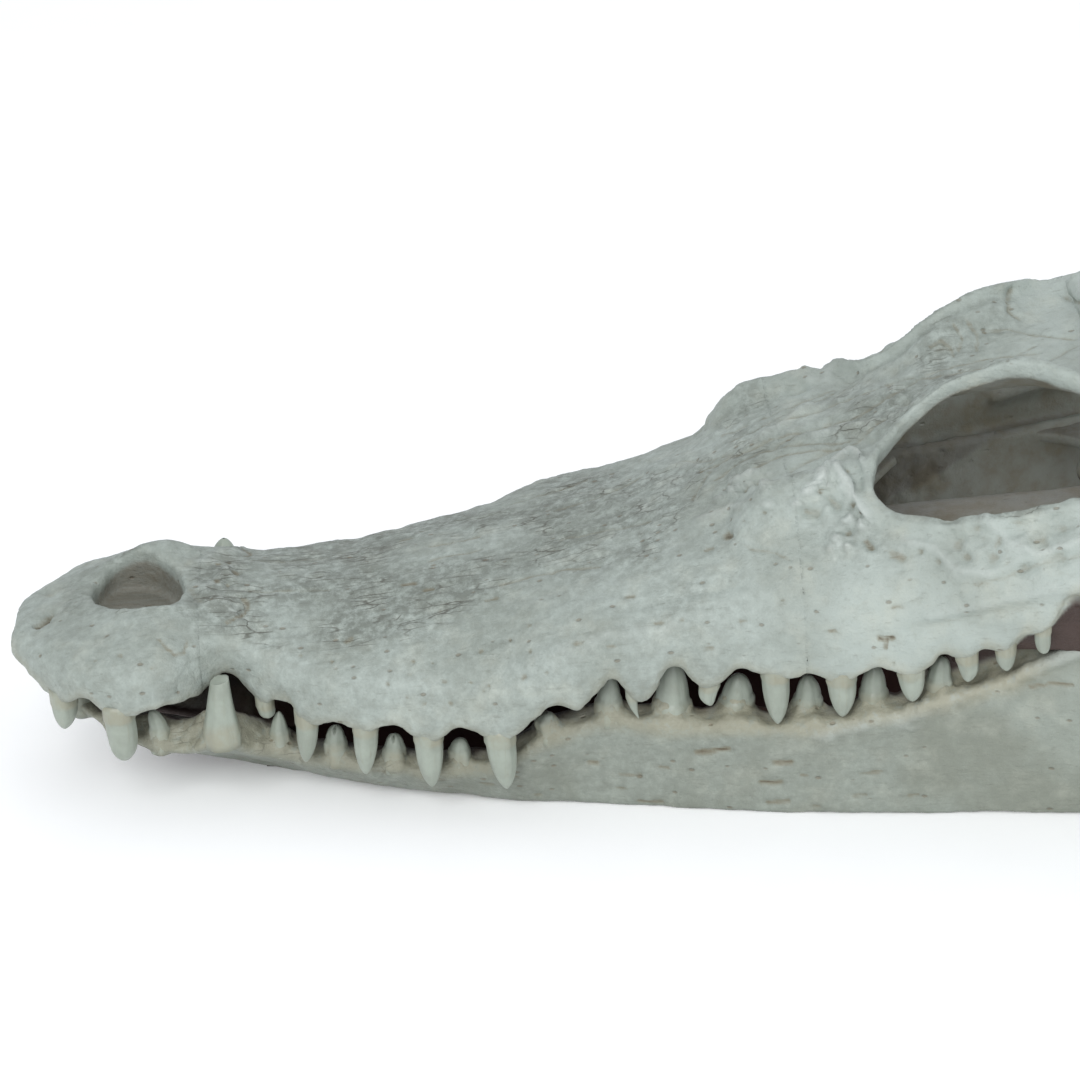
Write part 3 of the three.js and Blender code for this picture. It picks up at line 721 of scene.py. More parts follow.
def jaw_field(side):
    """One half of the lower jaw, with a mound round each tooth and its opening cut through."""
    low_y, high_y = (-JAW_REACH, 0) if side < 0 else (0, JAW_REACH)
    field = Field((JAW_START, low_y, 0), (SKULL_LENGTH, high_y, JAW_HIGH))
    s, _, z = field.axes()
    field.d = field.mesh_distance(*jaw_mesh(side))
    for x, _, diameter, _, form in LOWER_TEETH:
        if form == "cut":
            continue
        foot = (x, side * float(jaw_top_y(x) - LOWER_TOOTH_INSET), float(jaw_top(x)))
        mound = [np.add(foot, (0, 0, -3)), np.add(foot, (0, 0, MOUND))]
        field.stroke(mound, diameter / 2 + 0.5, 1.0)
    x, level, half_length, half_height, turn = JAW_OPENING
    along = (s[:, None] - x) * np.cos(turn) + (z[None] - level) * np.sin(turn)
    over = -(s[:, None] - x) * np.sin(turn) + (z[None] - level) * np.cos(turn)
    opening = (np.hypot(along / half_length, over / half_height) - 1) * half_height
    d = np.maximum(field.d, -opening[:, None, :].astype(np.float32))
    field.d = np.clip(d, -BAND * VOXEL, BAND * VOXEL)
    field.soften(SKIN)
    return field


# ------------------------------------------------------------------ meshes in the frame
def metres(points):
    return (points - (SKULL_LENGTH / 2, 0, 0)) / 1000


def add_object(name, points, faces, material, **attributes):
    """A smooth mesh object from skull millimetres, with its float attributes."""
    faces = np.asarray(faces, np.int32)
    corners = faces.shape[1]
    mesh = bpy.data.meshes.new(name)
    mesh.vertices.add(len(points))
    mesh.vertices.foreach_set("co", metres(points).astype(np.float32).ravel())
    mesh.loops.add(faces.size)
    mesh.loops.foreach_set("vertex_index", faces.ravel())
    mesh.polygons.add(len(faces))
    mesh.polygons.foreach_set("loop_start", np.arange(0, faces.size, corners, dtype=np.int32))
    mesh.polygons.foreach_set("use_smooth", np.ones(len(faces), bool))
    mesh.update(calc_edges=True)
    mesh.validate()
    for key, values in attributes.items():
        layer = mesh.attributes.new(key, "FLOAT", "POINT")
        layer.data.foreach_set("value", np.asarray(values, np.float32))
    mesh.materials.append(material)
    piece = bpy.data.objects.new(name, mesh)
    bpy.context.collection.objects.link(piece)
    return piece


def vertex_normals(points, quads):
    """Outward unit normals of a mesh of quads."""
    a, b, c, d = (points[quads[:, k]] for k in range(4))
    face = np.cross(c - a, d - b)
    normals = np.zeros_like(points)
    for k in range(4):
        for axis in range(3):
            normals[:, axis] += np.bincount(quads[:, k], face[:, axis], len(points))
    return normals / np.maximum(np.linalg.norm(normals, axis=1, keepdims=True), 1e-9)


# ------------------------------------------------------------------ surface of the bone
# Marks seen in the photograph: width and height in millimetres, how dark, then the picture
# places that the mark runs through. A height below 0 is a pit or groove.
CRANIUM_MARKS = (
    (0.8, -0.7, 0.7, ((226, 623), (240, 617), (247, 609), (248, 602), (243, 598))),
    (0.6, -0.4, 0.6, ((158, 639), (166, 648), (174, 655), (184, 654), (187, 640))),
    (1.0, -0.9, 0.9, ((218, 565),)), (0.8, -0.8, 0.9, ((229, 563),)), (1.0, -0.8, 0.8, ((236, 574),)),
    (1.6, 0.9, -0.2, ((190, 560), (214, 562), (232, 578))),
    (1.3, 0.7, -0.2, ((205, 590), (225, 602), (238, 622))),
    (2.0, -0.7, 0.3, ((186, 584), (200, 598))),
    (0.9, -0.7, 0.7, ((481, 651),)), (0.9, -0.7, 0.7, ((529, 651),)), (0.8, -0.6, 0.6, ((510, 640),)),
    (0.9, -0.6, 0.6, ((432, 662),)), (0.8, -0.6, 0.6, ((444, 681),)), (1.0, -0.7, 0.7, ((388, 684),)),
    (0.9, -0.6, 0.6, ((407, 697),)), (0.9, -0.6, 0.7, ((524, 677),)), (0.8, -0.6, 0.6, ((546, 674),)),
    (0.8, -0.6, 0.7, ((488, 686),)), (0.8, -0.5, 0.6, ((470, 682),)), (0.9, -0.6, 0.6, ((410, 674),)),
    (0.8, -0.6, 0.7, ((413, 661),)), (0.8, -0.6, 0.6, ((483, 691),)), (0.7, -0.6, 0.7, ((451, 704),)),
    (0.8, -0.6, 0.7, ((424, 704),)), (0.9, -0.7, 0.7, ((627, 597), (633, 596))),
    (0.9, -0.6, 0.6, ((655, 624), (662, 623))), (0.8, -0.5, 0.6, ((575, 644), (581, 643))),
    (0.8, -0.6, 0.6, ((608, 647), (615, 646))), (0.8, -0.5, 0.5, ((529, 625),)),
    (0.8, -0.5, 0.8, ((402, 584), (415, 582))), (0.7, -0.5, 0.7, ((424, 590), (433, 588))),
    (0.7, -0.5, 0.7, ((485, 601), (497, 598))), (0.8, -0.5, 0.6, ((345, 640), (351, 637))),
    (0.8, -0.5, 0.6, ((300, 655),)), (0.7, -0.5, 0.6, ((332, 661),)), (0.9, -0.5, 0.6, ((120, 655),)),
    (0.8, -0.5, 0.5, ((95, 660),)), (0.8, -0.5, 0.5, ((152, 668),)), (0.7, -0.5, 0.5, ((178, 690),)),
    (1.3, -1.4, 0.8, ((723, 534), (728, 535))),
    (0.6, -0.35, 0.4, ((731, 538), (752, 549), (774, 553), (790, 560))),
    (0.9, -0.7, 0.5, ((700, 468), (745, 440), (791, 418), (850, 398), (913, 377))),
    (0.8, -0.6, 0.5, ((722, 436), (770, 415), (830, 391), (870, 380))),
    (0.8, -0.6, 0.5, ((715, 480), (760, 452), (800, 444), (848, 440))),
    (0.8, -0.5, 0.4, ((690, 500), (712, 470), (730, 455))),
    (0.8, -0.6, 0.5, ((890, 398), (930, 372), (985, 356), (1040, 354))),
    (3.0, -1.6, 0.3, ((797, 388),)), (2.8, -1.5, 0.3, ((894, 372),)), (2.6, -1.4, 0.25, ((850, 379),)),
    (2.6, -0.8, 0.3, ((938, 349), (946, 345))), (2.2, -0.7, 0.2, ((912, 358),)),
    (0.8, -0.8, 0.5, ((930, 345), (941, 338), (950, 344), (953, 354))),
    (0.8, -0.8, 0.5, ((953, 322), (962, 336), (958, 349))),
    (0.8, -0.8, 0.5, ((966, 318), (978, 334), (976, 348))),
    (0.8, -0.7, 0.5, ((985, 330), (1010, 328), (1040, 335), (1075, 338))),
    (0.9, -1.0, 0.6, ((1014, 290), (1008, 300), (1010, 310), (1020, 317))),
    (0.8, -0.8, 0.6, ((1066, 297), (1079, 303))),
    (2.2, -1.3, 0.45, ((957, 544),)), (1.7, -1.1, 0.45, ((948, 519),)), (1.5, -1.0, 0.6, ((967, 557),)),
    (1.9, -1.2, 0.5, ((994, 558),)), (2.4, -1.4, 0.4, ((1041, 538),)), (2.0, -1.2, 0.4, ((1017, 524),)),
    (1.8, -1.2, 0.45, ((1062, 527),)), (1.6, -1.0, 0.4, ((977, 529),)), (1.6, -1.0, 0.5, ((997, 542),)),
    (1.7, -1.1, 0.5, ((1024, 568),)), (1.4, -0.9, 0.6, ((893, 554), (902, 558))),
    (1.2, -0.8, 0.6, ((920, 552),)), (1.3, -0.9, 0.5, ((938, 562),)), (1.8, -1.1, 0.4, ((1060, 556),)),
    (1.6, 0.8, -0.2, ((905, 540), (935, 548), (955, 570), (990, 574))),
    (1.4, 0.7, -0.2, ((985, 515), (1005, 541), (1040, 553), (1079, 541))),
    (0.9, -0.6, 0.4, ((975, 585), (1010, 576), (1045, 562), (1079, 556))),
    (1.7, -0.9, 0.25, ((912, 630), (960, 620), (1020, 609), (1079, 596))),
    (1.8, 0.7, -0.1, ((930, 616), (990, 604), (1040, 592), (1079, 583))),
    (1.4, -0.5, 0.15, ((620, 612), (680, 596), (740, 584))),
    (2.0, 0.6, -0.1, ((560, 650), (610, 636), (680, 622))),
    (0.7, -0.5, 0.9, ((880, 639), (893, 638))), (0.6, -0.5, 0.9, ((887, 639), (886, 648))),
    (0.8, -0.6, 0.7, ((705, 650), (712, 649))), (0.8, -0.6, 0.7, ((682, 620),)),
    (0.8, -0.5, 0.6, ((740, 622), (745, 621))), (0.8, -0.5, 0.6, ((829, 632), (835, 631))),
    (0.8, -0.5, 0.6, ((893, 608), (901, 607))), (0.7, -0.5, 0.6, ((782, 600),)),
    (0.8, -0.5, 0.6, ((705, 549), (712, 548))), (0.7, -0.4, 0.6, ((655, 559),)),
    (4.5, 0.0, 0.9, ((1056, 405), (1079, 415))),
    (0.9, -0.5, 0.4, ((560, 540), (600, 530), (650, 520))), (0.8, -0.5, 0.5, ((430, 560), (480, 548))),
    (0.8, -0.5, 0.5, ((500, 585), (560, 570), (600, 566))), (0.8, -0.5, 0.4, ((250, 560), (330, 556))),
)
# Marks that are strong on the left side and faint on the right.
NEAR_MARKS = (
    (1.5, -2.8, 1.0, ((37, 624), (43, 619), (49, 613))),
    (1.9, 2.2, -0.5, ((738, 481),)), (1.7, 1.9, -0.5, ((752, 475),)), (1.5, 1.7, -0.5, ((765, 485),)),
    (1.5, 1.6, -0.4, ((733, 493),)), (1.4, 1.4, -0.4, ((720, 498),)), (1.1, -1.4, 0.8, ((746, 489),)),
    (1.0, -1.0, 0.6, ((758, 482),)), (1.0, -1.0, 0.6, ((728, 487),)),
    (1.6, 2.3, -0.5, ((806, 494), (822, 480), (838, 462), (852, 455), (863, 462))),
    (1.4, 2.0, -0.5, ((838, 470), (849, 490), (860, 505), (868, 516))),
    (1.7, 2.3, -0.5, ((851, 520),)), (1.5, 1.9, -0.5, ((863, 527),)), (1.6, 2.2, -0.5, ((838, 539),)),
    (1.4, 1.8, -0.5, ((847, 548),)), (1.3, 1.5, -0.4, ((831, 549),)), (1.5, 1.5, -0.4, ((797, 503),)),
    (1.4, -1.8, 0.5, ((806, 511), (816, 513))), (1.2, -1.6, 0.45, ((829, 497), (838, 506))),
    (1.0, -1.5, 0.8, ((853, 505),)), (1.0, -1.5, 0.8, ((848, 533),)), (1.0, -1.2, 0.7, ((820, 492),)),
    (1.1, -1.2, 0.6, ((848, 470),)), (1.0, -1.0, 0.7, ((866, 541), (872, 548))),
    (1.6, 1.3, -0.2, ((767, 436), (787, 420), (808, 408))),
    (1.6, 1.2, -0.2, ((813, 436), (843, 428), (874, 424))),
    (1.2, -0.9, 0.4, ((775, 446), (800, 432), (830, 420))),
    (1.1, -0.8, 0.4, ((790, 470), (812, 458), (838, 446))),
    (1.5, 1.0, -0.2, ((700, 520), (730, 508), (770, 505))),
)
JAW_MARKS = (
    (0.9, -0.7, 0.9, ((696, 753), (712, 751), (728, 749))), (0.9, -0.6, 0.7, ((590, 764), (597, 764))),
    (0.8, -0.6, 0.8, ((761, 783), (780, 783))), (0.8, -0.6, 0.8, ((775, 763), (792, 763))),
    (0.8, -0.6, 0.7, ((768, 803), (788, 802))), (0.8, -0.6, 0.7, ((640, 802), (662, 803))),
    (0.8, -0.6, 0.7, ((722, 812), (740, 812))), (0.8, -0.5, 0.6, ((535, 794), (540, 794))),
    (0.8, -0.6, 0.7, ((573, 802), (588, 803))), (0.7, -0.5, 0.6, ((860, 775), (883, 772))),
    (0.7, -0.5, 0.6, ((853, 796), (866, 795))), (0.8, -0.5, 0.6, ((801, 776), (806, 776))),
    (0.8, -0.5, 0.6, ((815, 807), (819, 807))), (0.7, -0.5, 0.5, ((910, 796), (918, 795))),
    (0.7, -0.5, 0.6, ((660, 768), (668, 768))), (0.7, -0.5, 0.5, ((620, 775), (640, 776))),
    (0.7, -0.5, 0.6, ((480, 784), (492, 785))), (0.7, -0.5, 0.6, ((430, 779), (444, 781))),
    (0.7, -0.5, 0.6, ((505, 776), (518, 777))), (0.7, -0.5, 0.5, ((372, 772), (385, 773))),
    (2.4, 1.1, -0.3, ((900, 722), (940, 702), (1000, 682), (1040, 664), (1079, 650))),
    (2.0, 0.8, -0.3, ((820, 735), (900, 715), (960, 690))),
    (1.4, -0.8, 0.1, ((960, 706), (1010, 690), (1079, 664))),
    (0.7, -0.6, 0.7, ((1030, 688), (1050, 684), (1072, 685))),
)
# Dirty patches: how far they reach in millimetres, how dark, and where they are in the picture.
DIRT = (
    (4, 0.9, (222, 570)), (5, 0.6, (240, 590)), (8, 0.6, (300, 590)), (9, 0.5, (350, 585)),
    (9, 0.8, (420, 600)), (7, 0.7, (460, 590)), (8, 0.8, (385, 615)), (8, 0.5, (490, 520)),
    (9, 0.6, (560, 508)), (9, 0.5, (630, 490)), (7, 0.4, (690, 470)), (8, 0.4, (760, 450)),
    (8, 0.3, (600, 560)), (6, 0.35, (830, 400)), (7, 0.35, (980, 335)), (5, 0.4, (350, 545)),
)
# Knobbly patches, in the same terms.
KNOBBLY = (
    (4.0, 1.0, (832, 488)), (3.6, 1.0, (852, 520)), (3.6, 0.9, (842, 545)), (3.0, 0.8, (800, 500)),
    (4.2, 0.9, (742, 486)), (3.4, 0.8, (764, 482)), (3.0, 0.6, (716, 500)), (5.0, 0.45, (905, 548)),
    (6.0, 0.4, (960, 545)), (6.0, 0.4, (1030, 535)), (4.0, 0.4, (790, 425)), (4.0, 0.4, (850, 400)),
)


def marked(points, field, table, far_share=1.0):
    """Rise and darkness that the marks in a table give each point, on both sides."""
    places = [place for row in table for place in row[3]]
    found = on_surface(field, places)
    rise, dark = np.zeros(len(points)), np.zeros(len(points))
    first = 0
    for width, height, stain, line in table:
        path = found[first:first + len(line)]
        first += len(line)
        for side, share in ((1, 1.0), (-1, far_share)):
            ends = path * (1, side, 1)
            reach = 2.2 * width
            near = ((points > ends.min(0) - reach) & (points < ends.max(0) + reach)).all(1)
            near = np.nonzero(near)[0]
            if not len(near):
                continue
            gap2 = np.full(len(near), 1e9)
            for a, b in zip(ends, ends[1:] if len(ends) > 1 else ends):
                along = b - a
                t = np.clip((points[near] - a) @ along / max(along @ along, 1e-9), 0, 1)
                gap2 = np.minimum(gap2, ((points[near] - a - t[:, None] * along) ** 2).sum(1))
            gap2 = gap2 * (1 + 0.5 * noise(points[near], 1.5, 77)) ** 2
            rise[near] += share * height * np.exp(-gap2 / width**2)
            tint = share * stain * np.exp(-gap2 / (0.8 * width) ** 2)
            dark[near] = np.where(np.abs(tint) > np.abs(dark[near]), tint, dark[near])
    return rise, dark


def patches(points, field, table, stretch, far_share=1.0):
    """Strength of the nearest patch in a table at each point, on both sides."""
    total = np.zeros(len(points))
    for (reach, strength, _), middle in zip(table, on_surface(field, [row[2] for row in table])):
        for side, share in ((1, 1.0), (-1, far_share)):
            gap2 = (((points - middle * (1, side, 1)) / (stretch, 1, 1)) ** 2).sum(1)
            total = np.maximum(total, share * strength * np.exp(-gap2 / reach**2))
    return total


def weather_and_shade_cranium(field, p, n):
    """How far each point moves along its normal, what stains it and where shade is painted on it.

    inside is the hollow skull and palate; mouth is painted shade, for the dark of the jaws' gaps, the
    nostril and the orbits' floor.
    """
    s, y, z = p.T
    a = np.abs(y)
    w = half_width(s)
    upward = np.clip(n[:, 2], 0, 1)
    snout = (1 - smoothstep(s, 245, 275)) * smoothstep(s, 4, 20)
    within = smoothstep(w - a, 4.5, 7.5) * (s < FACE_END)
    depth = face_top(np.minimum(s, FACE_END), y) - z
    inside = within * smoothstep(depth, 2.2, 5.0) * smoothstep(s, 18, 24)
    inside = np.maximum(inside, smoothstep(-n[:, 2], 0.2, 0.7) * smoothstep(w - a, 2.5, 6))
    outside = 1 - inside
    naris = inside * (s < PREMAXILLA_END)
    inside = inside - naris
    downward = np.maximum(-n[:, 2], n[:, 1] * np.sign(y))
    rear = smoothstep(s, 246, 250)
    behind_margin = smoothstep(w - a, 2.8 - rear, 4.6 - 1.6 * rear)
    # Painted shade on faces that look down or outwards deep behind the tooth rows, where the jaws' gap
    # is dark, then in the nostril and on the orbits' floor.
    mouth = smoothstep(downward, 0.0, 0.35) * behind_margin * smoothstep(depth, 5, 8)
    mouth = mouth * (z < 57 + 7 * smoothstep(s, 244, 250)) * (s < 300)
    mouth = mouth * ((s < 222) | (z < 45) | (w - a < 9))
    mouth = np.maximum(mouth, NARIS_SHADE * naris)
    mouth = np.maximum(mouth, FLOOR_SHADE * inside * smoothstep(n[:, 2], 0.5, 0.9) * (s > 200))

    lumps = 0.5 * rough(p, 15.0, 11) + 0.26 * rough(p, 5.5, 21) + 0.14 * rough(p, 2.4, 23, 2)
    fibres = rough(p, (26.0, 1.7, 1.7), 31, 2) * snout * outside
    fibre_strength = 0.04 + 0.12 * smoothstep(upward, 0.4, 0.8)
    side_pits = pits(p + rough(p, 2.0, 45, 1)[:, None] * 0.7, 4.6, 0.2, 0.95, 1.8, 41)
    bend = rough(p, 4.0, 57, 2)[:, None] * 0.9
    side_zone = smoothstep(s, 20, 60) * (1 - smoothstep(upward, 0.5, 0.8))
    cheek_pits = pits(p + bend, 5.4, 0.8, 2.6, 1.3, 43)
    cheek_zone = smoothstep(s, 262, 275) * smoothstep(a, w - 20, w - 12)
    table_pits = pits(p + bend, 6.0, 0.85, 2.9, 1.0, 47)
    table_zone = smoothstep(s, 274, 284) * smoothstep(upward, 0.5, 0.8) * smoothstep(z, 88, 94)
    fine_pits = pits(p + rough(p, 1.6, 55, 1)[:, None] * 0.5, 3.2, 0.16, 0.8, 1.3, 53)
    kinds = [side_pits * side_zone, cheek_pits * cheek_zone * 1.3, table_pits * table_zone * 1.6]
    pit = outside * np.maximum.reduce([*kinds, fine_pits * 0.6])
    margin = smoothstep(5 - (z - upper_margin(s)), 0, 4) * smoothstep(a, w - 12, w - 6) * (s < 262)
    collars = 0.35 * rough(p, 3.0, 71, 2) * margin
    rise, dark = marked(p, field, CRANIUM_MARKS)
    near_rise, near_dark = marked(p, field, NEAR_MARKS, NEAR_SHARE)
    knobs = pits(p + bend * 0.5, 2.7, 0.75, 1.7, 1.0, 59) * outside
    knobbly = patches(p, field, KNOBBLY, 1.0, NEAR_KNOBS)
    rise = rise + near_rise + knobbly * (1.5 * knobs - 0.5)
    dark = np.where(np.abs(near_dark) > np.abs(dark), near_dark, dark)
    move = lumps * (0.35 + 0.65 * outside) + fibres * fibre_strength - 0.7 * pit + collars + rise
    grime = smoothstep(upward, 0.45, 0.85) * snout * (0.5 + 0.45 * rough(p, 16.0, 61))
    grime = np.maximum(grime, SIDE_GRIME * (1 - smoothstep(s, 170, 215)))
    grime = np.clip(grime + patches(p, field, DIRT, 1.8), 0, 1) * outside
    small_pits = np.maximum(side_pits * side_zone, fine_pits * 0.6)
    broad_pits = np.maximum(cheek_pits * cheek_zone, table_pits * table_zone)
    pit_stain = outside * np.maximum(0.55 * small_pits, 0.35 * broad_pits**2)
    stain = np.clip(np.maximum.reduce([pit_stain, dark, NARIS_STAIN * naris]), 0, 1)
    white = np.clip(np.maximum(-2.2 * dark, knobbly * knobs), 0, 1)
    return move, dict(
        stain=stain, grime=grime, crust=np.clip(margin, 0, 1) * 0.5,
        inside=inside, mouth=mouth, white=white,
    )


def weather_and_shade_jaw(left_jaw, p, n):
    """The same for the lower jaw, whose marks are found on its left half."""
    s, y, z = p.T
    outside = smoothstep(n[:, 1] * np.sign(y), -0.2, 0.3)
    lumps = 0.35 * rough(p, 18.0, 111) + 0.16 * rough(p, 5.0, 121) + 0.08 * rough(p, 2.4, 123, 2)
    fibres = rough(p, (30.0, 2.0, 2.0), 131, 2)
    slits = pits(p, 6.0, 0.24, 0.85, 4.6, 141)
    top = jaw_top(s)
    crust = smoothstep(z, top - 6 + 1.6 * rough(p, 7.0, 151, 2), top - 1)
    crust = crust * (1 - smoothstep(s, 245, 260))
    crumbs = crust * smoothstep(n[:, 2], -0.6, 0.0) * rough(p, 2.6, 161, 2)
    on_left = p if y.mean() < 0 else p * (1, -1, 1)
    rise, dark = marked(on_left, left_jaw, JAW_MARKS)
    move = lumps + 0.07 * fibres - 0.6 * slits * outside + 0.55 * crumbs + rise
    inside = (1 - outside) * smoothstep(z, 2, 8)
    # Painted shade on the jaw's inner faces and on the ridge inside the last lower teeth, where the
    # jaws' gap is dark.
    mouth = smoothstep(-n[:, 1] * np.sign(y), 0.0, 0.4) * (1 - smoothstep(s, 215, 240))
    ridge = smoothstep(z - top, 1.5, 3.5) * smoothstep(s, 219, 232) * (1 - smoothstep(s, 285, 310))
    inside = np.maximum(inside, ridge)
    mouth = np.maximum(mouth, ridge * (0.35 + 0.65 * smoothstep(n[:, 1] * np.sign(y), 0.3, 0.7)))
    grime = 0.15 + 0.2 * (1 - smoothstep(s, 80, 200)) + 0.25 * (1 - smoothstep(s, 200, 270))
    return move, dict(
        stain=np.clip(np.maximum(0.7 * slits * outside, dark), 0, 1),
        grime=outside * grime,
        crust=np.clip(crust, 0, 1), inside=inside, mouth=mouth, white=np.clip(-2.2 * dark, 0, 1),
    )


# ------------------------------------------------------------------ materials
def new_material(name):
    material = bpy.data.materials.new(name)
    material.use_nodes = True
    material.node_tree.nodes.clear()
    return material, material.node_tree


def node(tree, kind, values, **settings):
    """A node with its settings, and its inputs linked or set to the values."""
    n = tree.nodes.new(kind)
    for key, value in settings.items():
        setattr(n, key, value)
    for key, value in values.items():
        if isinstance(value, bpy.types.NodeSocket):
            tree.links.new(value, n.inputs[key])
        else:
            n.inputs[key].default_value = value
    return n


def mixed(tree, factor, first, second):
    values = {0: factor, 6: first, 7: second}
    return node(tree, "ShaderNodeMix", values, data_type="RGBA", blend_type="MIX").outputs[2]


def maths(tree, operation, a, b):
    return node(tree, "ShaderNodeMath", {0: a, 1: b}, operation=operation).outputs[0]


def ramp(tree, value, low, high):
    values = {0: value, 1: low, 2: high}
    return node(tree, "ShaderNodeMapRange", values, interpolation_type="SMOOTHSTEP").outputs[0]


def coordinates(tree, scale):
    where = node(tree, "ShaderNodeTexCoord", {}).outputs["Object"]
    return node(tree, "ShaderNodeMapping", {"Vector": where, "Scale": scale}).outputs[0]


def noise_node(tree, vector, scale, detail, roughness=0.6):
    values = {"Vector": vector, "Scale": scale, "Detail": detail, "Roughness": roughness}
    return node(tree, "ShaderNodeTexNoise", values).outputs[0]


def attribute(tree, name):
    return node(tree, "ShaderNodeAttribute", {}, attribute_name=name).outputs["Fac"]


def colour(r, g, b):
    """A linear colour from sRGB bytes."""
    c = np.array([r, g, b]) / 255
    linear = np.where(c <= 0.04045, c / 12.92, ((c + 0.055) / 1.055) ** 2.4)
    return (*linear, 1.0)


def crack_lines(tree, scale, stretch, width):
    """1 along hairline cracks and 0 between them."""
    where = coordinates(tree, (stretch, 1, 1))
    bend = node(tree, "ShaderNodeTexNoise", {"Vector": where, "Scale": scale * 0.8, "Detail": 3})
    values = {0: bend.outputs["Color"], "Scale": 0.9 / scale}
    shift = node(tree, "ShaderNodeVectorMath", values, operation="SCALE").outputs[0]
    moved = node(tree, "ShaderNodeVectorMath", {0: where, 1: shift}, operation="ADD").outputs[0]
    values = {"Vector": moved, "Scale": scale}
    cells = node(tree, "ShaderNodeTexVoronoi", values, feature="DISTANCE_TO_EDGE")
    return maths(tree, "SUBTRACT", 1.0, ramp(tree, cells.outputs["Distance"], 0.0, width))


def flecks(tree, scale, stretch, share, size):
    """1 inside small scattered flecks, a share of them present."""
    where = coordinates(tree, (stretch, 1, 1))
    cells = node(tree, "ShaderNodeTexVoronoi", {"Vector": where, "Scale": scale})
    near = maths(tree, "SUBTRACT", 1.0, ramp(tree, cells.outputs["Distance"], size * 0.4, size))
    channels = node(tree, "ShaderNodeSeparateColor", {0: cells.outputs["Color"]})
    chosen = maths(tree, "LESS_THAN", channels.outputs[0], share)
    return maths(tree, "MULTIPLY", near, chosen)


def finish(tree, base, roughness, specular=0.5, height=None, strength=1.0, depth=0.0):
    """The shader and the output, with relief from a height where one is given."""
    values = {"Base Color": base, "Roughness": roughness, "Specular IOR Level": specular}
    if height is not None:
        relief = {"Strength": strength, "Distance": depth, "Height": height}
        values["Normal"] = node(tree, "ShaderNodeBump", relief).outputs[0]
    shader = node(tree, "ShaderNodeBsdfPrincipled", values)
    node(tree, "ShaderNodeOutputMaterial", {0: shader.outputs[0]})
    return shader


# What lies over the bone's own colour, painted shade among it.
PALE_CLOUD = colour(178, 181, 168)
DARK_MOTTLE = colour(132, 136, 126)
STREAK = colour(104, 106, 96)
FRESH_BONE = colour(188, 194, 190)
CRUST = colour(165, 160, 136)
DUST = colour(88, 92, 84)
CRACK = colour(66, 64, 54)
SPECK = colour(104, 90, 68)
STAIN_HALO = colour(112, 102, 78)
STAIN_CORE = colour(66, 54, 38)
INNER_LIGHT = colour(162, 164, 156)
INNER_DARK = colour(142, 136, 118)
# Painted shade for the dark gaps of the jaws, the nostril and the orbits' floor.
MOUTH_SHADE = colour(50, 27, 22)
TOOTH_ROOT = colour(146, 141, 120)
TOOTH_STRIPE = colour(132, 128, 108)
# The two colours that mingle in each kind of bone and in the enamel.
CRANIUM_COLOURS = colour(160, 169, 163), colour(146, 154, 147)
JAW_COLOURS = colour(141, 148, 139), colour(127, 132, 121)
ENAMEL_COLOURS = colour(149, 157, 146), colour(136, 143, 132)


def bone_material(name, light, dark, streaks, roughness):
    """Mottled bone whose stains, dust, crust and painted shade follow the mesh's attributes."""
    material, tree = new_material(name)
    plain = coordinates(tree, (1, 1, 1))
    along = coordinates(tree, (0.09, 1, 1))
    blotches = noise_node(tree, plain, 42, 3)
    clouds = noise_node(tree, plain, 110, 4, 0.6)
    mottle = noise_node(tree, plain, 380, 4, 0.7)
    fibres = noise_node(tree, along, 900, 4, 0.7)
    grit = noise_node(tree, plain, 1500, 3, 0.7)
    cracks = crack_lines(tree, 330, 0.12, 0.05)
    cracks = maths(tree, "MULTIPLY", cracks, ramp(tree, clouds, 0.42, 0.62))
    cracks = maths(tree, "MULTIPLY", cracks, ramp(tree, attribute(tree, "grime"), 0.38, 0.85))
    specks = flecks(tree, 420, 0.55, 0.22, 0.24)
    crust = maths(tree, "MULTIPLY", attribute(tree, "crust"), ramp(tree, mottle, 0.25, 0.55))
    dust = maths(tree, "MULTIPLY", attribute(tree, "grime"), ramp(tree, mottle, 0.25, 0.62))
    stain = attribute(tree, "stain")
    ragged = maths(tree, "ADD", stain, maths(tree, "MULTIPLY", fibres, 0.8))
    halo = maths(tree, "MULTIPLY", ramp(tree, ragged, 0.4, 1.3), ramp(tree, stain, 0.02, 0.4))
    core = maths(tree, "MULTIPLY", ramp(tree, stain, 0.5, 0.95), ramp(tree, fibres, 0.35, 0.6))
    inner = mixed(tree, ramp(tree, clouds, 0.35, 0.7), INNER_LIGHT, INNER_DARK)

    base = mixed(tree, ramp(tree, blotches, 0.36, 0.66), light, dark)
    for mask, share, above in (
        (ramp(tree, clouds, 0.45, 0.8), 0.4, PALE_CLOUD),
        (ramp(tree, mottle, 0.5, 0.75), 0.3, DARK_MOTTLE),
        (ramp(tree, fibres, 0.55, 0.74), streaks, STREAK),
        (attribute(tree, "white"), 0.5, FRESH_BONE),
        (crust, 0.65, CRUST),
        (dust, 0.7, DUST),
        (cracks, 0.75, CRACK),
        (specks, 0.5, SPECK),
        (halo, 0.7, STAIN_HALO),
        (core, 0.9, STAIN_CORE),
        (attribute(tree, "inside"), 0.9, inner),
        # Painted shade over all the rest.
        (attribute(tree, "mouth"), 0.95, MOUTH_SHADE),
    ):
        base = mixed(tree, maths(tree, "MULTIPLY", mask, share), base, above)

    height = maths(tree, "MULTIPLY", fibres, 0.35)
    for value, share in ((mottle, 0.8), (grit, 0.25), (cracks, -0.35), (specks, -0.5)):
        height = maths(tree, "ADD", height, maths(tree, "MULTIPLY", value, share))
    uneven = maths(tree, "ADD", maths(tree, "MULTIPLY", mottle, 0.25), roughness - 0.12)
    finish(tree, base, uneven, 0.45, height, strength=0.7, depth=0.0008)
    return material


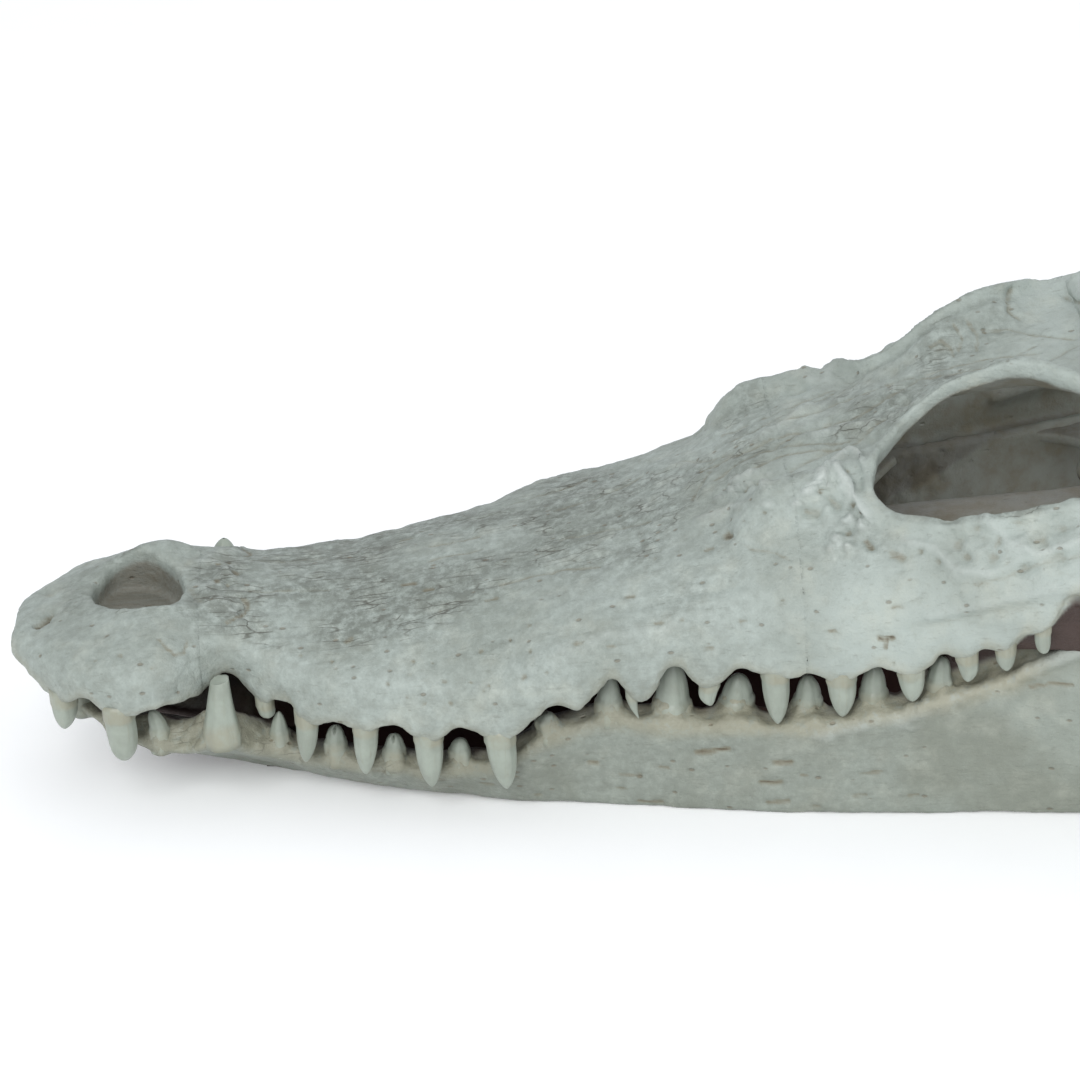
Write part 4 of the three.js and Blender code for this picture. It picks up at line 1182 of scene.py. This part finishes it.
def tooth_material():
    material, tree = new_material("tooth_enamel")
    plain = coordinates(tree, (1, 1, 1))
    upright = coordinates(tree, (1, 1, 0.12))
    cloud = noise_node(tree, plain, 160, 3)
    lines = noise_node(tree, upright, 900, 3, 0.6)
    base = mixed(tree, ramp(tree, cloud, 0.3, 0.7), *ENAMEL_COLOURS)
    root = maths(tree, "MULTIPLY", attribute(tree, "root"), ramp(tree, cloud, 0.2, 0.7))
    base = mixed(tree, maths(tree, "MULTIPLY", root, 0.6), base, TOOTH_ROOT)
    stripes = maths(tree, "MULTIPLY", ramp(tree, lines, 0.55, 0.75), 0.25)
    base = mixed(tree, stripes, base, TOOTH_STRIPE)
    finish(tree, base, 0.38, 0.5, lines, strength=0.35, depth=0.0004)
    return material


CRANIUM_BONE = bone_material("cranium_bone", *CRANIUM_COLOURS, streaks=0.35, roughness=0.55)
JAW_BONE = bone_material("jaw_bone", *JAW_COLOURS, streaks=0.4, roughness=0.5)
ENAMEL = tooth_material()


# ------------------------------------------------------------------ teeth
# Power of the taper and of the tip: a higher first number keeps the tooth thick for longer.
FORMS = {
    "long": (2.4, 0.7),
    "short": (2.1, 0.64),
    "stout": (4.2, 0.6),
    "stub": (3.4, 0.5),
    "leaf": (2.2, 0.8),
    "round": (3.0, 0.62),
    "notched": (3.2, 0.5),
    "splinter": (1.2, 0.9),
}
TOOTH_SIDES = 32
TOOTH_LEVELS = 34
ROOT = 4.0  # how deep a tooth runs on in the bone
CUT_TIP = 0.48  # width of the broken tooth's tip against its base
LOWER_COLLAR = 3.2  # height of the bare root round a lower tooth
UPPER_COLLAR = 0.6
UPPER_BULGE = 0.08  # how much wider a tooth is at its root
LOWER_BULGE = 0.16
CUT_BULGE = 0.03


def tooth_mesh(base, length, diameter, lean, form, rise, side, seed):
    """Skin of one tooth, and how much of a root each point is.

    rise is 1 for a lower tooth and -1 for an upper one.
    """
    rng = np.random.default_rng(seed)
    t = np.linspace(0, 1, TOOTH_LEVELS)
    heights = np.concatenate([[-ROOT, -ROOT / 2], length * (1 - (1 - t) ** 1.4)])
    share = np.clip(heights / length, 0, 1)
    if form == "cut":
        radius = diameter / 2 * (1 - (1 - CUT_TIP) * share**0.85)
        radius[-1] *= 0.6
    else:
        power, tip = FORMS[form]
        radius = diameter / 2 * np.maximum(1 - share**power, 0) ** tip
    collar = LOWER_COLLAR if rise > 0 else UPPER_COLLAR
    bulge = CUT_BULGE if form == "cut" else LOWER_BULGE if rise > 0 else UPPER_BULGE
    swell = 1 + bulge * (1 - smoothstep(heights, collar - 0.8, collar + 0.6))
    turn = 2 * np.pi * np.arange(TOOTH_SIDES) / TOOTH_SIDES
    ripple = 0.03 * np.cos(5 * turn + rng.random() * 6) + 0.02 * np.cos(9 * turn + rng.random() * 6)
    ragged = 0.05 * np.cos(3 * turn + rng.random() * 6) + 0.04 * np.cos(7 * turn + rng.random() * 6)
    bow = rng.normal(0, 0.25)
    rings = []
    for h, r, k, c in zip(heights, radius, share, swell):
        squeeze = 1 - (0.25 * k if form == "leaf" else 0.1 * k)
        rim = 1 + ripple + ragged * (c - 1) * 4
        along = lean * k**1.6 + bow * np.sin(np.pi * k) + r * c * rim * np.cos(turn)
        across = side * 0.8 * k + r * c * rim * squeeze * np.sin(turn)
        up = np.full_like(turn, h)
        if form == "cut":
            up = np.minimum(up, length * 0.96 + 0.5 * np.cos(turn - 0.6))
        if form == "notched":
            up = up - 1.3 * bump(np.cos(turn), -0.2, 0.35) * smoothstep(k, 0.6, 1.0)
        rings.append(np.stack([base[0] + along, base[1] + across, base[2] + rise * up], -1))
    points, quads, triangles = loft(rings)
    root = np.repeat(1 - smoothstep(heights, collar * 0.4, collar + 0.9), TOOTH_SIDES)
    return points, quads, triangles, np.concatenate([root, [1.0, 0.0]])


def tooth_row(name, teeth, side, row_y, row_z, rise):
    """One side's teeth of the upper or the lower jaw, as one piece."""
    points, triangles, roots = [], [], []
    count = 0
    for i, (s, length, diameter, lean, form) in enumerate(teeth):
        if side > 0 and rise > 0 and s == RIGHT_LONG_TOOTH[0]:
            length, form = RIGHT_LONG_TOOTH[1], "stout"
        base = (s, side * row_y(s), row_z(s))
        p, quads, caps, root = tooth_mesh(base, length, diameter, lean, form, rise, side, 700 + i)
        halves = np.vstack([quads[:, :3], quads[:, [0, 2, 3]], caps])
        points.append(p)
        triangles.append(halves + count)
        roots.append(root)
        count += len(p)
    points, triangles = np.vstack(points), np.vstack(triangles)
    if rise < 0:
        triangles = triangles[:, ::-1]
    piece = add_object(name, points, triangles, ENAMEL, root=np.concatenate(roots))
    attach(piece, "root")


# ------------------------------------------------------------------ building
def volume(points, quads):
    """Enclosed volume, negative where the faces look inwards."""
    a, b, c, d = (points[quads[:, k]] for k in range(4))
    return ((a * np.cross(b, c)).sum() + (a * np.cross(c, d)).sum()) / 6


def settled(points, field, claim):
    """Points of the seam, brought onto both the whole's surface and the cut."""
    moved = points.copy()
    for _ in range(4):
        for array in (field.d, claim):
            slope = field.slope(moved, array)
            step = field.sample(moved, array) / np.maximum((slope**2).sum(1), 0.25)
            moved -= slope * step[:, None]
    drift = moved - points
    length = np.linalg.norm(drift, axis=1, keepdims=True)
    return points + drift * np.minimum(1, VOXEL / np.maximum(length, 1e-9))


def add_bone(name, field, claim, weather_and_shade, material):
    """One bone: its share of the field's surface, weathered and painted with shade, with flat cuts to
    its neighbours.
    """
    points, quads = field.to_mesh(claim)
    if volume(points, quads) < 0:
        quads = quads[:, ::-1]
    normals = vertex_normals(points, quads)
    depth = field.sample(points)
    beside = np.abs(field.sample(points, claim))
    seam = (np.abs(depth) < CORNER) & (beside < CORNER)
    cut = (depth < -CORNER) & (beside < VOXEL)
    if seam.any():
        points[seam] = settled(points[seam], field, claim)
    joint = seam | cut
    slope = field.slope(points[joint])
    normals[joint] = slope / np.maximum(np.linalg.norm(slope, axis=1, keepdims=True), 1e-6)
    move, marks = weather_and_shade(points, normals)
    move = move * np.where(cut, np.clip(1 + depth / FADE, 0, 1), 1)
    points = points + normals * move[:, None]
    points[:, 2] = np.maximum(points[:, 2], 0)
    piece = add_object(f"{name}_bone", points, quads, material, **marks)
    sharpen(piece.data, cut[quads].any(1))
    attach(piece, "root")
    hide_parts(name)
    print(piece.name, len(quads))


def sharpen(mesh, cut_faces):
    """Sharp edges round the cut faces, so that the seam isn't shaded."""
    edges = np.empty(len(mesh.loops), np.int32)
    mesh.loops.foreach_get("edge_index", edges)
    count = np.bincount(edges, np.repeat(cut_faces, 4), len(mesh.edges))
    layer = mesh.attributes.new("sharp_edge", "BOOLEAN", "EDGE")
    layer.data.foreach_set("value", count == 1)


# Lowest and highest corner of each bone's box and its slot. A bone takes what those before
# it have left.
CRANIUM_CELLS = {
    "premaxilla": ((None, None, None), (PREMAXILLA_END, None, None), "snout_bone"),
    "maxilla": ((None, None, None), (MAXILLA_END, None, None), "snout_bone"),
    "skull_table": ((TABLE_FRONT, None, TABLE_UNDERSIDE), (None, None, None), "roof_bone"),
    "frontal": (
        (None, -ROOF_HALF_WIDTH, ROOF_UNDERSIDE), (TABLE_FRONT, ROOF_HALF_WIDTH, None), "roof_bone",
    ),
    "palatines": (
        (None, -PALATE_HALF_WIDTH, None), (PTERYGOID_FRONT, PALATE_HALF_WIDTH, None), "base_bone",
    ),
    "braincase": (
        (PTERYGOID_FRONT, -BRAINCASE_HALF_WIDTH, BRAINCASE_UNDERSIDE),
        (None, BRAINCASE_HALF_WIDTH, None), "base_bone",
    ),
    "pterygoids": (
        (PTERYGOID_FRONT, -PTERYGOID_HALF_WIDTH, None),
        (None, PTERYGOID_HALF_WIDTH, BRAINCASE_UNDERSIDE), "base_bone",
    ),
    "quadrate_left": ((QUADRATE_FRONT, None, None), (None, 0, None), "base_bone"),
    "quadrate_right": ((QUADRATE_FRONT, 0, None), (None, None, None), "base_bone"),
    "jugal_left": ((None, None, None), (None, 0, None), "roof_bone"),
    "jugal_right": ((None, 0, None), (None, None, None), "roof_bone"),
}
JAW_CELLS = {
    "dentary": ((None, None, None), (DENTARY_END, None, None), "jaw_bone"),
    "surangular": ((None, None, None), (SURANGULAR_END, None, None), "jaw_bone"),
    "articular": ((None, None, None), (None, None, None), "jaw_bone"),
}

cranium, orbits = cranium_field()
cranium.soften(SKIN)
shape_cranium(cranium, orbits)
weather_and_shade = partial(weather_and_shade_cranium, cranium)
for name, slot, claim in cranium.cells(CRANIUM_CELLS):
    add_bone(name, cranium, claim, weather_and_shade, CRANIUM_BONE)

jaws = {side: jaw_field(side) for side in (-1, 1)}
weather_and_shade = partial(weather_and_shade_jaw, jaws[-1])
for side, name in ((-1, "left"), (1, "right")):
    for bone, slot, claim in jaws[side].cells(JAW_CELLS):
        add_bone(f"{bone}_{name}", jaws[side], claim, weather_and_shade, JAW_BONE)
    tooth_row(
        f"upper_teeth_{name}", UPPER_TEETH, side,
        lambda s: half_width(s) - UPPER_TOOTH_INSET, upper_margin, -1,
    )
    tooth_row(
        f"lower_teeth_{name}", LOWER_TEETH, side,
        lambda s: jaw_top_y(s) - LOWER_TOOTH_INSET, jaw_top, 1,
    )


# ------------------------------------------------------------------ floor, light and camera
FLOOR_REACH = 6.0  # metres
FLOOR_GLOW = 0.12
SHADOW_SHEET_HEIGHT = 0.3  # how far the painted-shadow sheet lies above the floor, in millimetres
# Name, place, what it points at, width and power of each light, in metres and watts.
LIGHTS = (
    ("key", (-0.6, -1.3, 1.15), (0.0, 0.0, 0.05), 1.1, 17),
    ("fill", (0.9, -1.0, 0.8), (0.05, 0.0, 0.05), 1.4, 5),
    ("back", (0.2, 1.3, 1.2), (0.0, 0.0, 0.05), 1.2, 3.5),
)


def add_sheet(name, corners, grain, first, second, roughness):
    """A flat sheet of the stage in two mottled colours. Gives its shader."""
    mesh = bpy.data.meshes.new(name)
    mesh.from_pydata(corners, [], [tuple(range(len(corners)))])
    sheet = bpy.data.objects.new(name, mesh)
    bpy.context.collection.objects.link(sheet)
    material, tree = new_material(name)
    spots = noise_node(tree, coordinates(tree, (1, 1, 1)), grain, 3)
    shader = finish(tree, mixed(tree, spots, first, second), roughness)
    mesh.materials.append(material)
    return shader


def add_floor():
    r = FLOOR_REACH
    corners = [(-r, -r, 0), (r, -r, 0), (r, r, 0), (-r, r, 0)]
    shader = add_sheet("floor", corners, 40, (0.86, 0.865, 0.87, 1), (0.9, 0.905, 0.91, 1), 0.9)
    shader.inputs["Emission Color"].default_value = (1, 1, 1, 1)
    shader.inputs["Emission Strength"].default_value = FLOOR_GLOW


def add_shadow_sheet():
    """A dark sheet on the floor inside the lower jaw: painted shadow, which darkens the gaps of the
    teeth.
    """
    s = np.arange(SYMPHYSIS_END + 4, SHADOW_SHEET_END + 1, 6.0)
    y = jaw_foot_y(s) - SHADOW_SHEET_INSET
    edge = np.concatenate([np.stack([s, -y], -1), np.stack([s, y], -1)[::-1]])
    corners = metres(np.column_stack([edge, np.full(len(edge), SHADOW_SHEET_HEIGHT)]))
    add_sheet("shadow_sheet", corners.tolist(), 700, colour(44, 20, 17), colour(62, 30, 24), 1.0)


def add_light(name, place, aim, size, power):
    data = bpy.data.lights.new(name, "AREA")
    data.shape = "DISK"
    data.size = size
    data.energy = power
    lamp = bpy.data.objects.new(name, data)
    lamp.location = place
    lamp.rotation_euler = (Vector(aim) - Vector(place)).to_track_quat("-Z", "Y").to_euler()
    bpy.context.collection.objects.link(lamp)


def add_world():
    world = bpy.data.worlds.new("studio")
    world.use_nodes = True
    background = world.node_tree.nodes["Background"]
    background.inputs[0].default_value = (0.93, 0.96, 1.0, 1)
    background.inputs[1].default_value = 0.75
    bpy.context.scene.world = world


def add_camera():
    ahead, right, up = camera_axes()
    data = bpy.data.cameras.new("camera")
    data.sensor_width = SENSOR
    data.lens = FOCAL_PIXELS / IMAGE * SENSOR
    data.clip_start = 0.01
    camera = bpy.data.objects.new("camera", data)
    eye = metres(AIM - ahead * DISTANCE)
    turned = Matrix([right, up, -ahead]).transposed().to_4x4()
    turned.translation = Vector(eye)
    camera.matrix_world = turned
    bpy.context.collection.objects.link(camera)
    bpy.context.scene.camera = camera


add_floor()
add_shadow_sheet()
add_world()
for light in LIGHTS:
    add_light(*light)
add_camera()
bpy.context.scene.view_settings.view_transform = "Standard"
